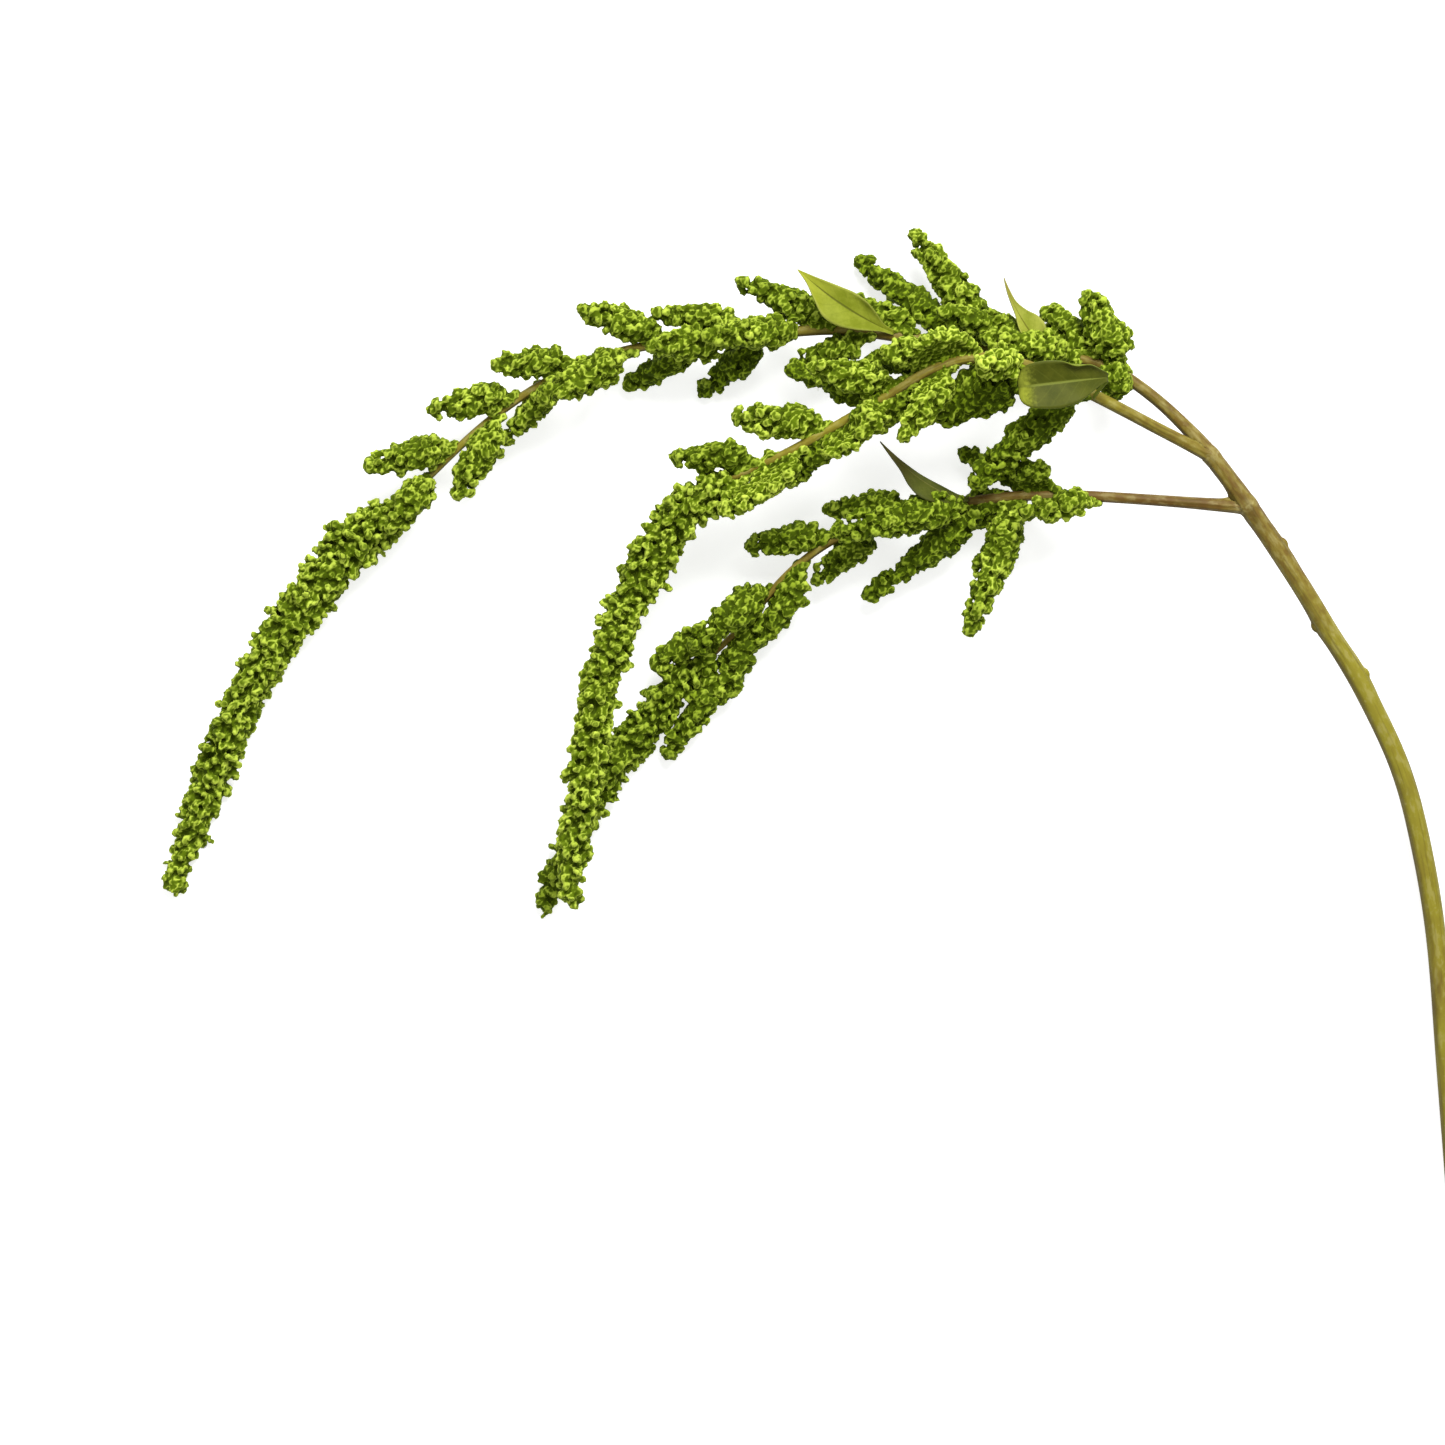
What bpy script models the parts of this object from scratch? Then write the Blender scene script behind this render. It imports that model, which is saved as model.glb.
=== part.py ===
"""A cut stem of green hanging amaranth, lying on its side.

The stalk arches over and parts into three branches. Each branch carries short seed spikes all round
and ends in a long drooping tassel. The part rests on the surface z = 0, and its origin is the middle of
its plan on that surface. +X runs from the tassels to the cut end's side, +Y to the top of the arch.
"""

import math
import random

import bmesh
import bpy
from mathutils import Matrix, Vector
from mathutils.geometry import intersect_point_line

MM = 0.001

# Driving dimensions, in millimetres
SEAT_GAP = 0.35
SOFT_GAP = 0.6
BARK_GAP = 0.4
STEM_PITCH = 9.0
STEM_BEVEL_RESOLUTION = 2
SWELLING_LENGTH = 9.0
SWELLING_HEIGHT = 0.7
SWELLING_SINK = 0.15
SWELLING_STEPS = 6
SCAR_RADIUS = 1.3
SCAR_STRETCH = 1.6
SCAR_SINK = 0.4
SPIKE_PITCH = 2.7
SPIKE_LEAST_RINGS = 6
SPIKE_SEGMENTS = 10
SPIKE_RELIEF = 1.1
SPIKE_BEND = 0.4
SPIKE_BOW = 0.25
SPIKE_HUG = 0.6
TIP_CLEARANCE = 0.5
EASE_ROUNDS = 4
DRAW_BACK_STEPS = 12
DRAW_BACK_SLACK = 0.02
SPIKE_SHOULDER = 0.25
SPIKE_SHOULDER_POWER = 0.6
SPIKE_TAPER = 0.55
SPIKE_TAPER_POWER = 0.5
TASSEL_PITCH = 3.4
TASSEL_SEGMENTS = 12
TASSEL_RELIEF = 1.7
VALLEY_DEPTH = 1.6
PLAIN_RINGS = 4
FLORET_WANDER = 0.12
FLORET_VARIATION = 0.3
LEAF_THICKNESS = 0.7
LEAF_ROWS = 11
LEAF_COLUMNS = 4
LEAF_WIDEST_POWER = 0.8
LEAF_POINT_POWER = 1.2
LEAF_FOLD = 0.3
LEAF_WAVE = 0.15
LEAF_WAVE_TURN = 9.0
LEAF_WAVE_STAGGER = 2.0
PETIOLE_WIDTH = 2.0
PETIOLE_SHARE = 0.1
LEAF_SEAT = 0.1
LEAF_CLEARANCE = 0.95
SMOOTH_ANGLE = 40.0
WELD_DISTANCE = 0.001
SEED = 4

# The routes below are measured from a point in the photo. This moves the middle of the plan to the origin.
ORIGIN_SHIFT = Vector((-0.93, 1.27, 0.0))

# Each route is a line of points: x, y and height of the centre line, then the radius.
# The stalk runs on into the upper branch.
STALK_ROUTE = (
    (229, -189.5, 3.51, 3.5),
    (226.5, -153.5, 4.3, 3.5),
    (222.5, -104, 6, 3.5),
    (219, -61.5, 8, 3.55),
    (213.4, -29, 10.5, 3.6),
    (205.5, -0.3, 13, 3.55),
    (190.4, 30.3, 16, 3.5),
    (180.7, 45.5, 17.5, 3.45),
    (170.6, 62.2, 19, 3.4),
    (151.2, 90.8, 21.5, 3.2),
    (138.5, 108, 22, 2.75),
    (124, 124, 20.5, 2.2),
    (103.5, 139, 19, 2.15),
    (82.5, 144, 18, 2.1),
    (54.5, 146.5, 18.5, 2.1),
    (21.5, 151, 20, 2.0),
    (6.5, 152.5, 20, 1.95),
    (-26, 150, 20, 1.8),
    (-63, 146, 19.5, 1.6),
    (-93, 135, 18.5, 1.5),
    (-117.5, 118, 17, 1.4),
    (-139, 97.5, 14.5, 1.3),
    (-147.5, 89.5, 13.5, 1.25),
)
MIDDLE_ROUTE = (
    (138.5, 108, 22, 2.3),
    (120, 117, 27, 2.1),
    (98, 128, 33, 2.05),
    (74, 138.5, 38.5, 1.95),
    (56.5, 141.5, 40.5, 1.85),
    (41, 137.5, 41, 1.8),
    (18, 124, 39.5, 1.7),
    (-7, 110, 36.5, 1.5),
    (-32.5, 98, 32, 1.2),
)
LOWER_ROUTE = (
    (151.5, 90, 21.5, 2.2),
    (120.5, 92.5, 20.5, 1.95),
    (82.5, 94.5, 19.5, 1.85),
    (56, 92.5, 19, 1.75),
    (28, 87, 18, 1.55),
    (5.5, 78.5, 17, 1.45),
    (-10.5, 66, 15, 1.35),
    (-25.5, 48.5, 13, 1.15),
    (-39.5, 35.5, 11.5, 1.0),
)
UPPER_TASSEL_ROUTE = (
    (-148, 89, 13.3, 6),
    (-161.5, 79, 13, 9),
    (-172, 65.5, 12, 8.9),
    (-190, 42, 10.5, 8),
    (-203, 17.5, 7.5, 7.4),
    (-213.5, -7, 4, 7),
    (-218, -19.5, 2.6, 6.4),
    (-226, -41.5, 2.2, 4.6),
    (-227.5, -45, 2, 2.4),
)
MIDDLE_TASSEL_ROUTE = (
    (-33, 97.5, 31.7, 6),
    (-43, 91, 30, 7.6),
    (-53, 79.5, 28, 8.6),
    (-66.5, 53.5, 25.5, 7.6),
    (-75, 27, 25.5, 6.9),
    (-79.5, 0, 26, 6.4),
    (-84, -26.5, 24, 6),
    (-85.5, -45, 22.3, 4.8),
    (-85.5, -48, 22, 2.5),
)
LOWER_TASSEL_ROUTE = (
    (-39.9, 35, 11.3, 4),
    (-48.5, 28, 10, 6.3),
    (-55.5, 18.5, 8.8, 7.4),
    (-75.5, -7.5, 7, 6.6),
    (-89.5, -36, 5.2, 5.4),
    (-96, -51, 3.6, 2.6),
)

# Leaf scars on the bare stalk: distance from the cut end and which side of the arch they are on.
SCARS = ((226, 1), (249, -1), (280, 1))

# Seed spikes, one row each: distance along the branch, swing towards the top of the arch and rise
# towards the viewer in degrees, length and width.
UPPER_SPIKES = (
    (359, -25, 36, 16, 11.5),
    (365, 35, 6, 27, 14.5),
    (373, 27, -22, 27, 13),
    (383, 2, 20, 31, 13),
    (395, 14, 16, 36, 11.5),
    (409, 50, -8, 48, 13),
    (421, 33, -18, 47, 11.5),
    (438, 24, -14, 23, 10),
    (455, -32, 0, 26, 11),
    (467, 28, 0, 34, 11),
    (480, 0, 22, 32, 12),
    (491, -36, -32, 32, 11.5),
    (499, 17, 5, 29, 11.5),
    (504, -3, 18, 27, 12),
    (514, -26, -27, 31, 10.5),
    (526, 30, 8, 29, 12),
    (539, -15, 20, 35, 13),
    (559, 22, 12, 26, 11),
    (566, -23, -10, 27, 9.5),
    (582, 27, 9, 28, 12),
    (592, -25, 10, 29, 13),
    (609, 32, 9, 30, 12),
    (623, -8, 20, 22, 11.5),
)
MIDDLE_SPIKES = (
    (54, -68, -10, 48, 13),
    (75, -42, -20, 38, 19),
    (80, -21, 55, 24, 12),
    (94, 8, 10, 31, 14.5),
    (105, 22, -22, 27, 10.5),
    (104, -37, 15, 29, 12),
    (119, -14, -22, 22, 12),
    (123, 44, 8, 29, 12.5),
    (129, -12, 18, 27, 13),
    (131, 50, -18, 33, 8),
    (151, -18, -20, 24, 10.5),
    (152, 38, 0, 30, 12.5),
    (164, -15, 20, 33, 15),
    (180, 31, 0, 27, 11.5),
)
LOWER_SPIKES = (
    (56, -16, 30, 27, 11),
    (70, 39, 22, 19, 11),
    (72, 28, -20, 33, 10.5),
    (81, -65, 3, 49, 13),
    (88, -16, -44, 20, 14),
    (92, -30, -9, 53, 10.5),
    (100, -4, 18, 48, 13),
    (120, 13, -5, 28, 10.5),
    (135, -24, -10, 26, 11.5),
    (149, 27, 0, 28, 12),
    (164, -17, 0, 31, 12),
    (177, 14, 15, 34, 12.5),
    (190, -20, -5, 29, 12),
    (205, 26, 3, 22, 11),
    (211, -25, -6, 35, 11.5),
)

# Leaves: distance along the branch, swing, rise, length, width, roll about the midrib, droop of the tip
# in degrees, and how far the tip curves to one side as a share of the length.
UPPER_LEAF_BROAD = (444, 12, 26, 41, 12, 0, 25, 0.2)
UPPER_LEAF_NARROW = (389, 38, 30, 30, 7.5, 15, 15, 0.3)
MIDDLE_LEAF = (48, -9, 46, 37, 17.5, 0, 74, 0.0)
LOWER_LEAF = (98, 12, 30, 32, 9, 20, 10, 0.62)


def smooth_route(route, pitch):
    """Places about a pitch apart on the smooth line through a route, each with its radius."""
    rows = [Vector(row) for row in route]
    rows = [2 * rows[0] - rows[1], *rows, 2 * rows[-1] - rows[-2]]
    line = []
    for before, start, end, after in zip(rows, rows[1:], rows[2:], rows[3:]):
        steps = max(1, round((end - start).length / pitch))
        for step in range(steps):
            t = step / steps
            line.append(
                start
                + (end - before) * 0.5 * t
                + (before - 2.5 * start + 2 * end - 0.5 * after) * t**2
                + (1.5 * start - 0.5 * before - 1.5 * end + 0.5 * after) * t**3
            )
    line.append(rows[-2])
    return [(row.to_3d(), row[3]) for row in line]


def point_along(line, distance):
    """The place, forward direction and radius at a distance along a smoothed route."""
    for (start, start_radius), (end, end_radius) in zip(line, line[1:]):
        step = (end - start).length
        if distance <= step:
            break
        distance -= step
    part = min(1.0, distance / step)
    radius = start_radius + part * (end_radius - start_radius)
    return start.lerp(end, part), (end - start).normalized(), radius


def nearest_distance(line, place):
    """How far along a smoothed route its nearest point to a place is."""
    travelled = 0.0
    best = (math.inf, 0.0)
    for (start, _), (end, _) in zip(line, line[1:]):
        best = min(best, ((start - place).length, travelled))
        travelled += (end - start).length
    return best[1]


def growing_directions(line, distance, swing, rise):
    """Where a shoot leaves its branch: the place on the bark, the shoot's heading and its way out."""
    place, forward, radius = point_along(line, distance)
    outer = forward.cross(Vector((0, 0, 1))).normalized()
    level = outer.cross(forward)
    swing = math.radians(swing)
    rise = math.radians(rise)
    heading = math.cos(rise) * (math.cos(swing) * forward + math.sin(swing) * outer) + math.sin(rise) * level
    sideways = (heading - heading.dot(forward) * forward).normalized()
    return place + sideways * (radius + SEAT_GAP), heading, sideways


def keep_clear(place, obstacles, gap):
    """Move a place out of every thick line that it would lie inside."""
    for line in obstacles:
        for (start, start_radius), (end, end_radius) in zip(line, line[1:]):
            part = intersect_point_line(place, start, end)[1]
            part = max(0.0, min(1.0, part))
            away = place - start.lerp(end, part)
            least = start_radius + part * (end_radius - start_radius) + gap
            if away.length < least:
                place = place + away.normalized() * (least - away.length)
    return place


def parts_within(obstacles, place, reach):
    """The stretches of the thick lines that come within reach of a place."""
    near = []
    for line in obstacles:
        for (start, start_radius), (end, end_radius) in zip(line, line[1:]):
            thickest = max(start_radius, end_radius)
            if min((start - place).length, (end - place).length) < reach + thickest + (end - start).length:
                near.append(((start, start_radius), (end, end_radius)))
    return near


def draw_back(centre, place, obstacles, gap):
    """The place, moved towards the centre line until it keeps its gap from every thick line."""
    for step in range(DRAW_BACK_STEPS):
        trial = place.lerp(centre, step / DRAW_BACK_STEPS)
        if (keep_clear(trial, obstacles, gap) - trial).length < DRAW_BACK_SLACK:
            break
    return trial


def ease_clear(line, obstacles):
    """Bend a centre line round the thick lines in its way, in an even curve."""
    for _ in range(EASE_ROUNDS):
        places = [line[0][0]]
        for (before, _), (place, radius), (after, _) in zip(line, line[1:], line[2:]):
            place = 0.25 * before + 0.5 * place + 0.25 * after
            places.append(keep_clear(place, obstacles, SOFT_GAP + SPIKE_HUG * radius))
        places.append(keep_clear(line[-1][0], obstacles, SOFT_GAP + TIP_CLEARANCE))
        line = [(place, radius) for place, (_, radius) in zip(places, line)]
    return line


def make_material(name, colour, roughness):
    """A plain Principled material."""
    material = bpy.data.materials.new(name)
    material.use_nodes = True
    shader = material.node_tree.nodes["Principled BSDF"]
    shader.inputs["Base Color"].default_value = (*colour, 1.0)
    shader.inputs["Roughness"].default_value = roughness
    shader.inputs["Metallic"].default_value = 0.0
    return material


def link_mesh(name, bm, material, collection):
    """Turn a bmesh in millimetres into a smooth-shaded object in metres."""
    bmesh.ops.translate(bm, vec=ORIGIN_SHIFT, verts=bm.verts)
    bmesh.ops.scale(bm, vec=(MM, MM, MM), verts=bm.verts)
    bmesh.ops.recalc_face_normals(bm, faces=bm.faces)
    mesh = bpy.data.meshes.new(name)
    bm.to_mesh(mesh)
    bm.free()
    mesh.shade_smooth()
    mesh.set_sharp_from_angle(angle=math.radians(SMOOTH_ANGLE))
    mesh.materials.append(material)
    piece = bpy.data.objects.new(name, mesh)
    collection.objects.link(piece)
    return piece


def tube(line, collection):
    """A closed round tube along a line of places and radii, as a mesh object in metres."""
    curve = bpy.data.curves.new("tube", "CURVE")
    curve.dimensions = "3D"
    curve.bevel_depth = MM
    curve.bevel_resolution = STEM_BEVEL_RESOLUTION
    curve.use_fill_caps = True
    spline = curve.splines.new("POLY")
    spline.points.add(len(line) - 1)
    for point, (place, radius) in zip(spline.points, line):
        point.co = (*(MM * (place + ORIGIN_SHIFT)), 1.0)
        point.radius = radius
    guide = bpy.data.objects.new("tube", curve)
    collection.objects.link(guide)
    bpy.context.view_layer.update()
    mesh = bpy.data.meshes.new_from_object(guide.evaluated_get(bpy.context.evaluated_depsgraph_get()))
    piece = bpy.data.objects.new("tube", mesh)
    piece.matrix_world = guide.matrix_world
    bpy.data.objects.remove(guide)
    collection.objects.link(piece)
    bm = bmesh.new()
    bm.from_mesh(mesh)
    bmesh.ops.remove_doubles(bm, verts=bm.verts, dist=WELD_DISTANCE * MM)
    bmesh.ops.recalc_face_normals(bm, faces=bm.faces)
    bm.to_mesh(mesh)
    bm.free()
    return piece


def swelling(line, distance, collection):
    """A low ring-shaped swelling of the stalk, where a branch leaves it."""
    rows = []
    for step in range(SWELLING_STEPS + 1):
        part = step / SWELLING_STEPS
        place, _, radius = point_along(line, distance + (part - 0.5) * SWELLING_LENGTH)
        rows.append((place, radius - SWELLING_SINK + SWELLING_HEIGHT * math.sin(math.pi * part)))
    tube(rows, collection)


def leaf_scar(line, distance, side, material, collection):
    """A small oval bump on the stalk, where a leaf has dropped."""
    place, forward, radius = point_along(line, distance)
    outer = side * forward.cross(Vector((0, 0, 1))).normalized()
    bm = bmesh.new()
    bmesh.ops.create_uvsphere(bm, u_segments=8, v_segments=5, radius=SCAR_RADIUS)
    bmesh.ops.scale(bm, vec=(1, 1, SCAR_STRETCH), verts=bm.verts)
    turned = forward.to_track_quat("Z", "Y").to_matrix()
    bmesh.ops.rotate(bm, matrix=turned, verts=bm.verts)
    bmesh.ops.translate(bm, vec=place + outer * (radius - SCAR_SINK), verts=bm.verts)
    link_mesh("leaf_scar", bm, material, collection)


def stem(stalk, middle, lower, material, collection):
    """The stalk and its three branches, grown as one piece."""
    shoots = bpy.data.collections.new("shoots")
    bpy.context.scene.collection.children.link(shoots)
    tube(middle, shoots)
    tube(lower, shoots)
    for branch in (middle, lower):
        swelling(stalk, nearest_distance(stalk, branch[0][0]), shoots)
    for distance, side in SCARS:
        leaf_scar(stalk, distance, side, material, shoots)
    trunk = tube(stalk, collection)
    union = trunk.modifiers.new("join the branches", "BOOLEAN")
    union.operation = "UNION"
    union.operand_type = "COLLECTION"
    union.collection = shoots
    union.solver = "EXACT"
    bpy.context.view_layer.update()
    mesh = bpy.data.meshes.new_from_object(trunk.evaluated_get(bpy.context.evaluated_depsgraph_get()))
    for shoot in [*shoots.objects, trunk]:
        bpy.data.objects.remove(shoot)
    bpy.data.collections.remove(shoots)
    mesh.name = "stem"
    mesh.materials.clear()
    mesh.materials.append(material)
    mesh.shade_smooth()
    mesh.set_sharp_from_angle(angle=math.radians(SMOOTH_ANGLE))
    piece = bpy.data.objects.new("stem", mesh)
    collection.objects.link(piece)


def floret_body(name, line, segments, relief, obstacles, material, collection, seed):
    """A closed body round a line of places and radii, its surface raised in staggered florets."""
    rng = random.Random(seed)
    rings = len(line) - 1
    turn = 2 * math.pi / segments
    steady = (line[-1][0] - line[0][0]).orthogonal()
    bm = bmesh.new()
    bmesh.ops.create_uvsphere(bm, u_segments=segments, v_segments=rings, radius=1)
    valleys = set()
    nearby = [parts_within(obstacles, place, radius + 2 * relief) for place, radius in line]
    for vert in bm.verts:
        ring = round(math.acos(max(-1, min(1, vert.co.z))) / math.pi * rings)
        segment = round(math.atan2(vert.co.x, vert.co.y) / turn) % segments
        centre, radius = line[ring]
        place = centre
        if 0 < ring < rings:
            forward = (line[ring + 1][0] - line[ring - 1][0]).normalized()
            side = forward.cross(steady).normalized()
            around = (segment + rng.uniform(-FLORET_WANDER, FLORET_WANDER)) * turn
            outward = math.cos(around) * side + math.sin(around) * side.cross(forward)
            size = relief * min(1.0, radius / (2 * relief), ring / PLAIN_RINGS)
            if (ring + segment) % 2:
                valleys.add(vert)
                place = place + outward * (radius - VALLEY_DEPTH * size)
            else:
                height = size * rng.uniform(-FLORET_VARIATION, FLORET_VARIATION)
                place = place + outward * (radius + height) + forward * size
        vert.co = draw_back(centre, place, nearby[ring], SOFT_GAP)
        vert.co.z = max(0.0, vert.co.z)
    for face in [face for face in bm.faces if len(face.verts) == 4]:
        low = [vert for vert in face.verts if vert in valleys]
        bmesh.utils.face_split(face, low[0], low[1])
    link_mesh(name, bm, material, collection)
    return [(place, radius + FLORET_VARIATION * relief) for place, radius in line]


def spike_line(branch, distance, swing, rise, length, width):
    """The centre line of a seed spike that grows from a branch, from its root to its tip."""
    root, heading, sideways = growing_directions(branch, distance, swing, rise)
    bow = SPIKE_BOW * (1 - heading.dot(sideways))
    bend = root + length * SPIKE_BEND * (heading + bow * sideways).normalized()
    tip = root + length * heading
    rings = max(SPIKE_LEAST_RINGS, round(length / SPIKE_PITCH))
    line = []
    for ring in range(rings + 1):
        t = ring / rings
        centre = (1 - t) ** 2 * root + 2 * t * (1 - t) * bend + t**2 * tip
        shoulder = min(1.0, t / SPIKE_SHOULDER) ** SPIKE_SHOULDER_POWER
        taper = min(1.0, (1 - t) / SPIKE_TAPER) ** SPIKE_TAPER_POWER
        line.append((centre, 0.5 * width * shoulder * taper))
    return line


def leaf(name, branch, row, obstacles, material, collection):
    """A thin pointed leaf on a short stalk of its own, folded a little along its midrib."""
    distance, swing, rise, length, width, roll, droop, sweep = row
    root, heading, _ = growing_directions(branch, distance, swing, rise)
    across = Vector((0, 0, 1)).cross(heading).normalized()
    across.rotate(Matrix.Rotation(math.radians(roll), 3, heading))
    normal = heading.cross(across)
    bm = bmesh.new()
    bmesh.ops.create_grid(bm, x_segments=LEAF_ROWS, y_segments=LEAF_COLUMNS, size=1)
    for vert in bm.verts:
        t = 0.5 * (vert.co.x + 1)
        clear = min(1.0, t / PETIOLE_SHARE)
        petiole = 0.25 * PETIOLE_WIDTH * (1 + clear)
        blade = max(0.0, (t - PETIOLE_SHARE) / (1 - PETIOLE_SHARE))
        half = 0.5 * width * math.sin(math.pi * blade**LEAF_WIDEST_POWER) ** LEAF_POINT_POWER
        edge = vert.co.y * max(petiole, half)
        wave = LEAF_WAVE * math.sin(LEAF_WAVE_TURN * t + LEAF_WAVE_STAGGER * vert.co.y)
        turned = math.radians(droop) * t
        arc = length * t / turned if turned else 0.0
        midrib = root + arc * math.sin(turned) * heading - arc * (1 - math.cos(turned)) * normal
        midrib = midrib - sweep * length * t**2 * across
        gap = LEAF_SEAT + clear * (LEAF_CLEARANCE - LEAF_SEAT)
        midrib = keep_clear(midrib, obstacles, gap + petiole * clear)
        place = midrib + edge * across + abs(edge) * (LEAF_FOLD + wave) * normal
        vert.co = keep_clear(place, obstacles, gap)
    bmesh.ops.triangulate(bm, faces=bm.faces)
    piece = link_mesh(name, bm, material, collection)
    solidify = piece.modifiers.new("blade thickness", "SOLIDIFY")
    solidify.thickness = LEAF_THICKNESS * MM
    solidify.offset = 0.0


def main():
    for piece in list(bpy.data.objects):
        bpy.data.objects.remove(piece)
    head = bpy.data.collections.new("amaranth_seed_head")
    bpy.context.scene.collection.children.link(head)
    bark = make_material("stem", (0.36, 0.27, 0.08), 0.55)
    seed_green = make_material("florets", (0.2, 0.36, 0.03), 0.8)
    leaf_green = make_material("leaf", (0.3, 0.36, 0.08), 0.5)

    stalk = smooth_route(STALK_ROUTE, STEM_PITCH)
    middle = smooth_route(MIDDLE_ROUTE, STEM_PITCH)
    lower = smooth_route(LOWER_ROUTE, STEM_PITCH)
    stem(stalk, middle, lower, bark, head)
    placed = []
    for line in (stalk, middle, lower):
        placed.append([(place, radius + BARK_GAP) for place, radius in line])

    tassels = (
        ("upper_tassel", UPPER_TASSEL_ROUTE),
        ("middle_tassel", MIDDLE_TASSEL_ROUTE),
        ("lower_tassel", LOWER_TASSEL_ROUTE),
    )
    tassel_lines = []
    for number, (name, route) in enumerate(tassels):
        line = smooth_route(route, TASSEL_PITCH)
        outline = floret_body(
            name, line, TASSEL_SEGMENTS, TASSEL_RELIEF, placed, seed_green, head, SEED + number
        )
        tassel_lines.append(outline)
    placed += tassel_lines

    sprays = (
        ("upper_spike", stalk, UPPER_SPIKES),
        ("middle_spike", middle, MIDDLE_SPIKES),
        ("lower_spike", lower, LOWER_SPIKES),
    )
    for kind, branch, rows in sprays:
        for number, row in enumerate(rows, start=1):
            name = f"{kind}_{number:02d}"
            line = ease_clear(spike_line(branch, *row), placed)
            seed = SEED + len(placed)
            placed.append(
                floret_body(name, line, SPIKE_SEGMENTS, SPIKE_RELIEF, placed, seed_green, head, seed)
            )

    leaves = (
        ("upper_leaf_broad", stalk, UPPER_LEAF_BROAD),
        ("upper_leaf_narrow", stalk, UPPER_LEAF_NARROW),
        ("middle_leaf", middle, MIDDLE_LEAF),
        ("lower_leaf", lower, LOWER_LEAF),
    )
    for name, branch, row in leaves:
        leaf(name, branch, row, placed, leaf_green, head)


if __name__ == "__main__":
    main()
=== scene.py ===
"""The look of a cut stem of green hanging amaranth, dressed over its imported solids.

The stem gets a smooth ribbed bark. Each seed spike and tassel gets clusters of small buds, which are fused
with a core into one skin and finely crinkled. Each leaf gets a thin blade with a midrib, side veins and
waved edges. Routes, rows and sizes are in millimetres where they are listed, and every mesh is in metres.
"""

import bisect
import math
import random

import bmesh
import bpy
import numpy as np
from bpy.props import FloatProperty, FloatVectorProperty, IntProperty, PointerProperty
from mathutils import Matrix, Vector, noise
from mathutils.bvhtree import BVHTree


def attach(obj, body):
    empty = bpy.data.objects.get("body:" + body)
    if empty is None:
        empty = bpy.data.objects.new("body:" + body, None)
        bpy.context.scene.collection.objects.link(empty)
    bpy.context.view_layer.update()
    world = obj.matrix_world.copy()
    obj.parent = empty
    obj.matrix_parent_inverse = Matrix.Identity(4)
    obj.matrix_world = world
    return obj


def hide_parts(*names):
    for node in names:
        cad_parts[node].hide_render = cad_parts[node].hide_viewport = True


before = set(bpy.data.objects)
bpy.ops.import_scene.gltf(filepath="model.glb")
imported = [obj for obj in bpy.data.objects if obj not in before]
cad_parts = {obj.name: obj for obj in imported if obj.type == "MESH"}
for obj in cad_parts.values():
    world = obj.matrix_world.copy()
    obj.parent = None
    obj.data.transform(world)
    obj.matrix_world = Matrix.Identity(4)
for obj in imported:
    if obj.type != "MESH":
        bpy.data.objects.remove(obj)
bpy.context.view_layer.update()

bl_info = {
    "name": "Amaranth seed head",
    "version": (1, 0, 0),
    "blender": (4, 5, 0),
    "location": "3D View > Sidebar > Amaranth",
    "description": "Dresses the solids of a cut amaranth stem with bark, buds and leaf blades",
    "category": "Object",
}

MM = 0.001
MERGE_DISTANCE = 0.00001
BUD_MATERIAL = "buds"
WHITE = (1.0, 1.0, 1.0, 1.0)
UP = Vector((0, 0, 1))

# The rows of clusters along a spike or tassel, in shares of the clusters' spacing: where the first row
# stands, how far apart the rows are, what is left free at the tip, and how far a seat strays.
FIRST_ROW = 0.45
ROW_PITCH = 0.87
LAST_ROW = 0.3
SEAT_STRAY = 0.16

# The least distance of a seat from the axis, in shares of the body's full width, how much it is at most
# in the outer part of a spike, and how it falls there with the share of the length that is left.
BLUNTNESS = 0.4
FULLNESS = 0.72
TAPER = 2.0

# Where a body is full and where its outer part begins, in shares of its length, and the angle in degrees
# between the probes that measure it.
FULL_PLACE = 0.35
OUTER_PART = 0.5
PROBE_STEP = 45

# The clusters round a tip: how many there are, how far they face forward, how far back and how wide apart
# they sit, and their share of the length.
TIP_SEATS = 4
TIP_AHEAD = 0.7
TIP_BACK = 1.3
TIP_SPREAD = 0.3
TIP_SHARE = 0.97

# How much more a cluster leans forward at the tip and how much smaller it is there, each with the power
# that says how suddenly it sets in.
TIP_LEAN = 1.0
LEAN_POWER = 6
TIP_SHRINK = 0.12
SHRINK_POWER = 8

# How much the sizes of clusters differ, and the sizes, leans and turns of the copies in one. The last two
# are in degrees.
CLUSTER_SIZES = (0.8, 1.25)
COPY_SIZES = (0.8, 1.2)
COPY_LEAN = 10
COPY_TURN = 16

# The clusters on the bark round a spike's root: their rows along the branch, how many stand on each side of
# the middle one, the angle between them, how far they stray in shares of it, and how far up they may stand.
ROOT_ROWS = (-2.2 * MM, 0.0, 2.2 * MM, 4.4 * MM)
ROOT_REACH = 1
ROOT_STEP = math.radians(42)
ROOT_STRAY = 0.2
BARE_TOP = 0.72

# The ring of clusters that closes a tassel's root round the end of its branch: how many there are, and how
# far out and how far back they sit.
RING_SEATS = 7
RING_OUT = 1.4 * MM
RING_BACK = 2.0 * MM

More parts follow.
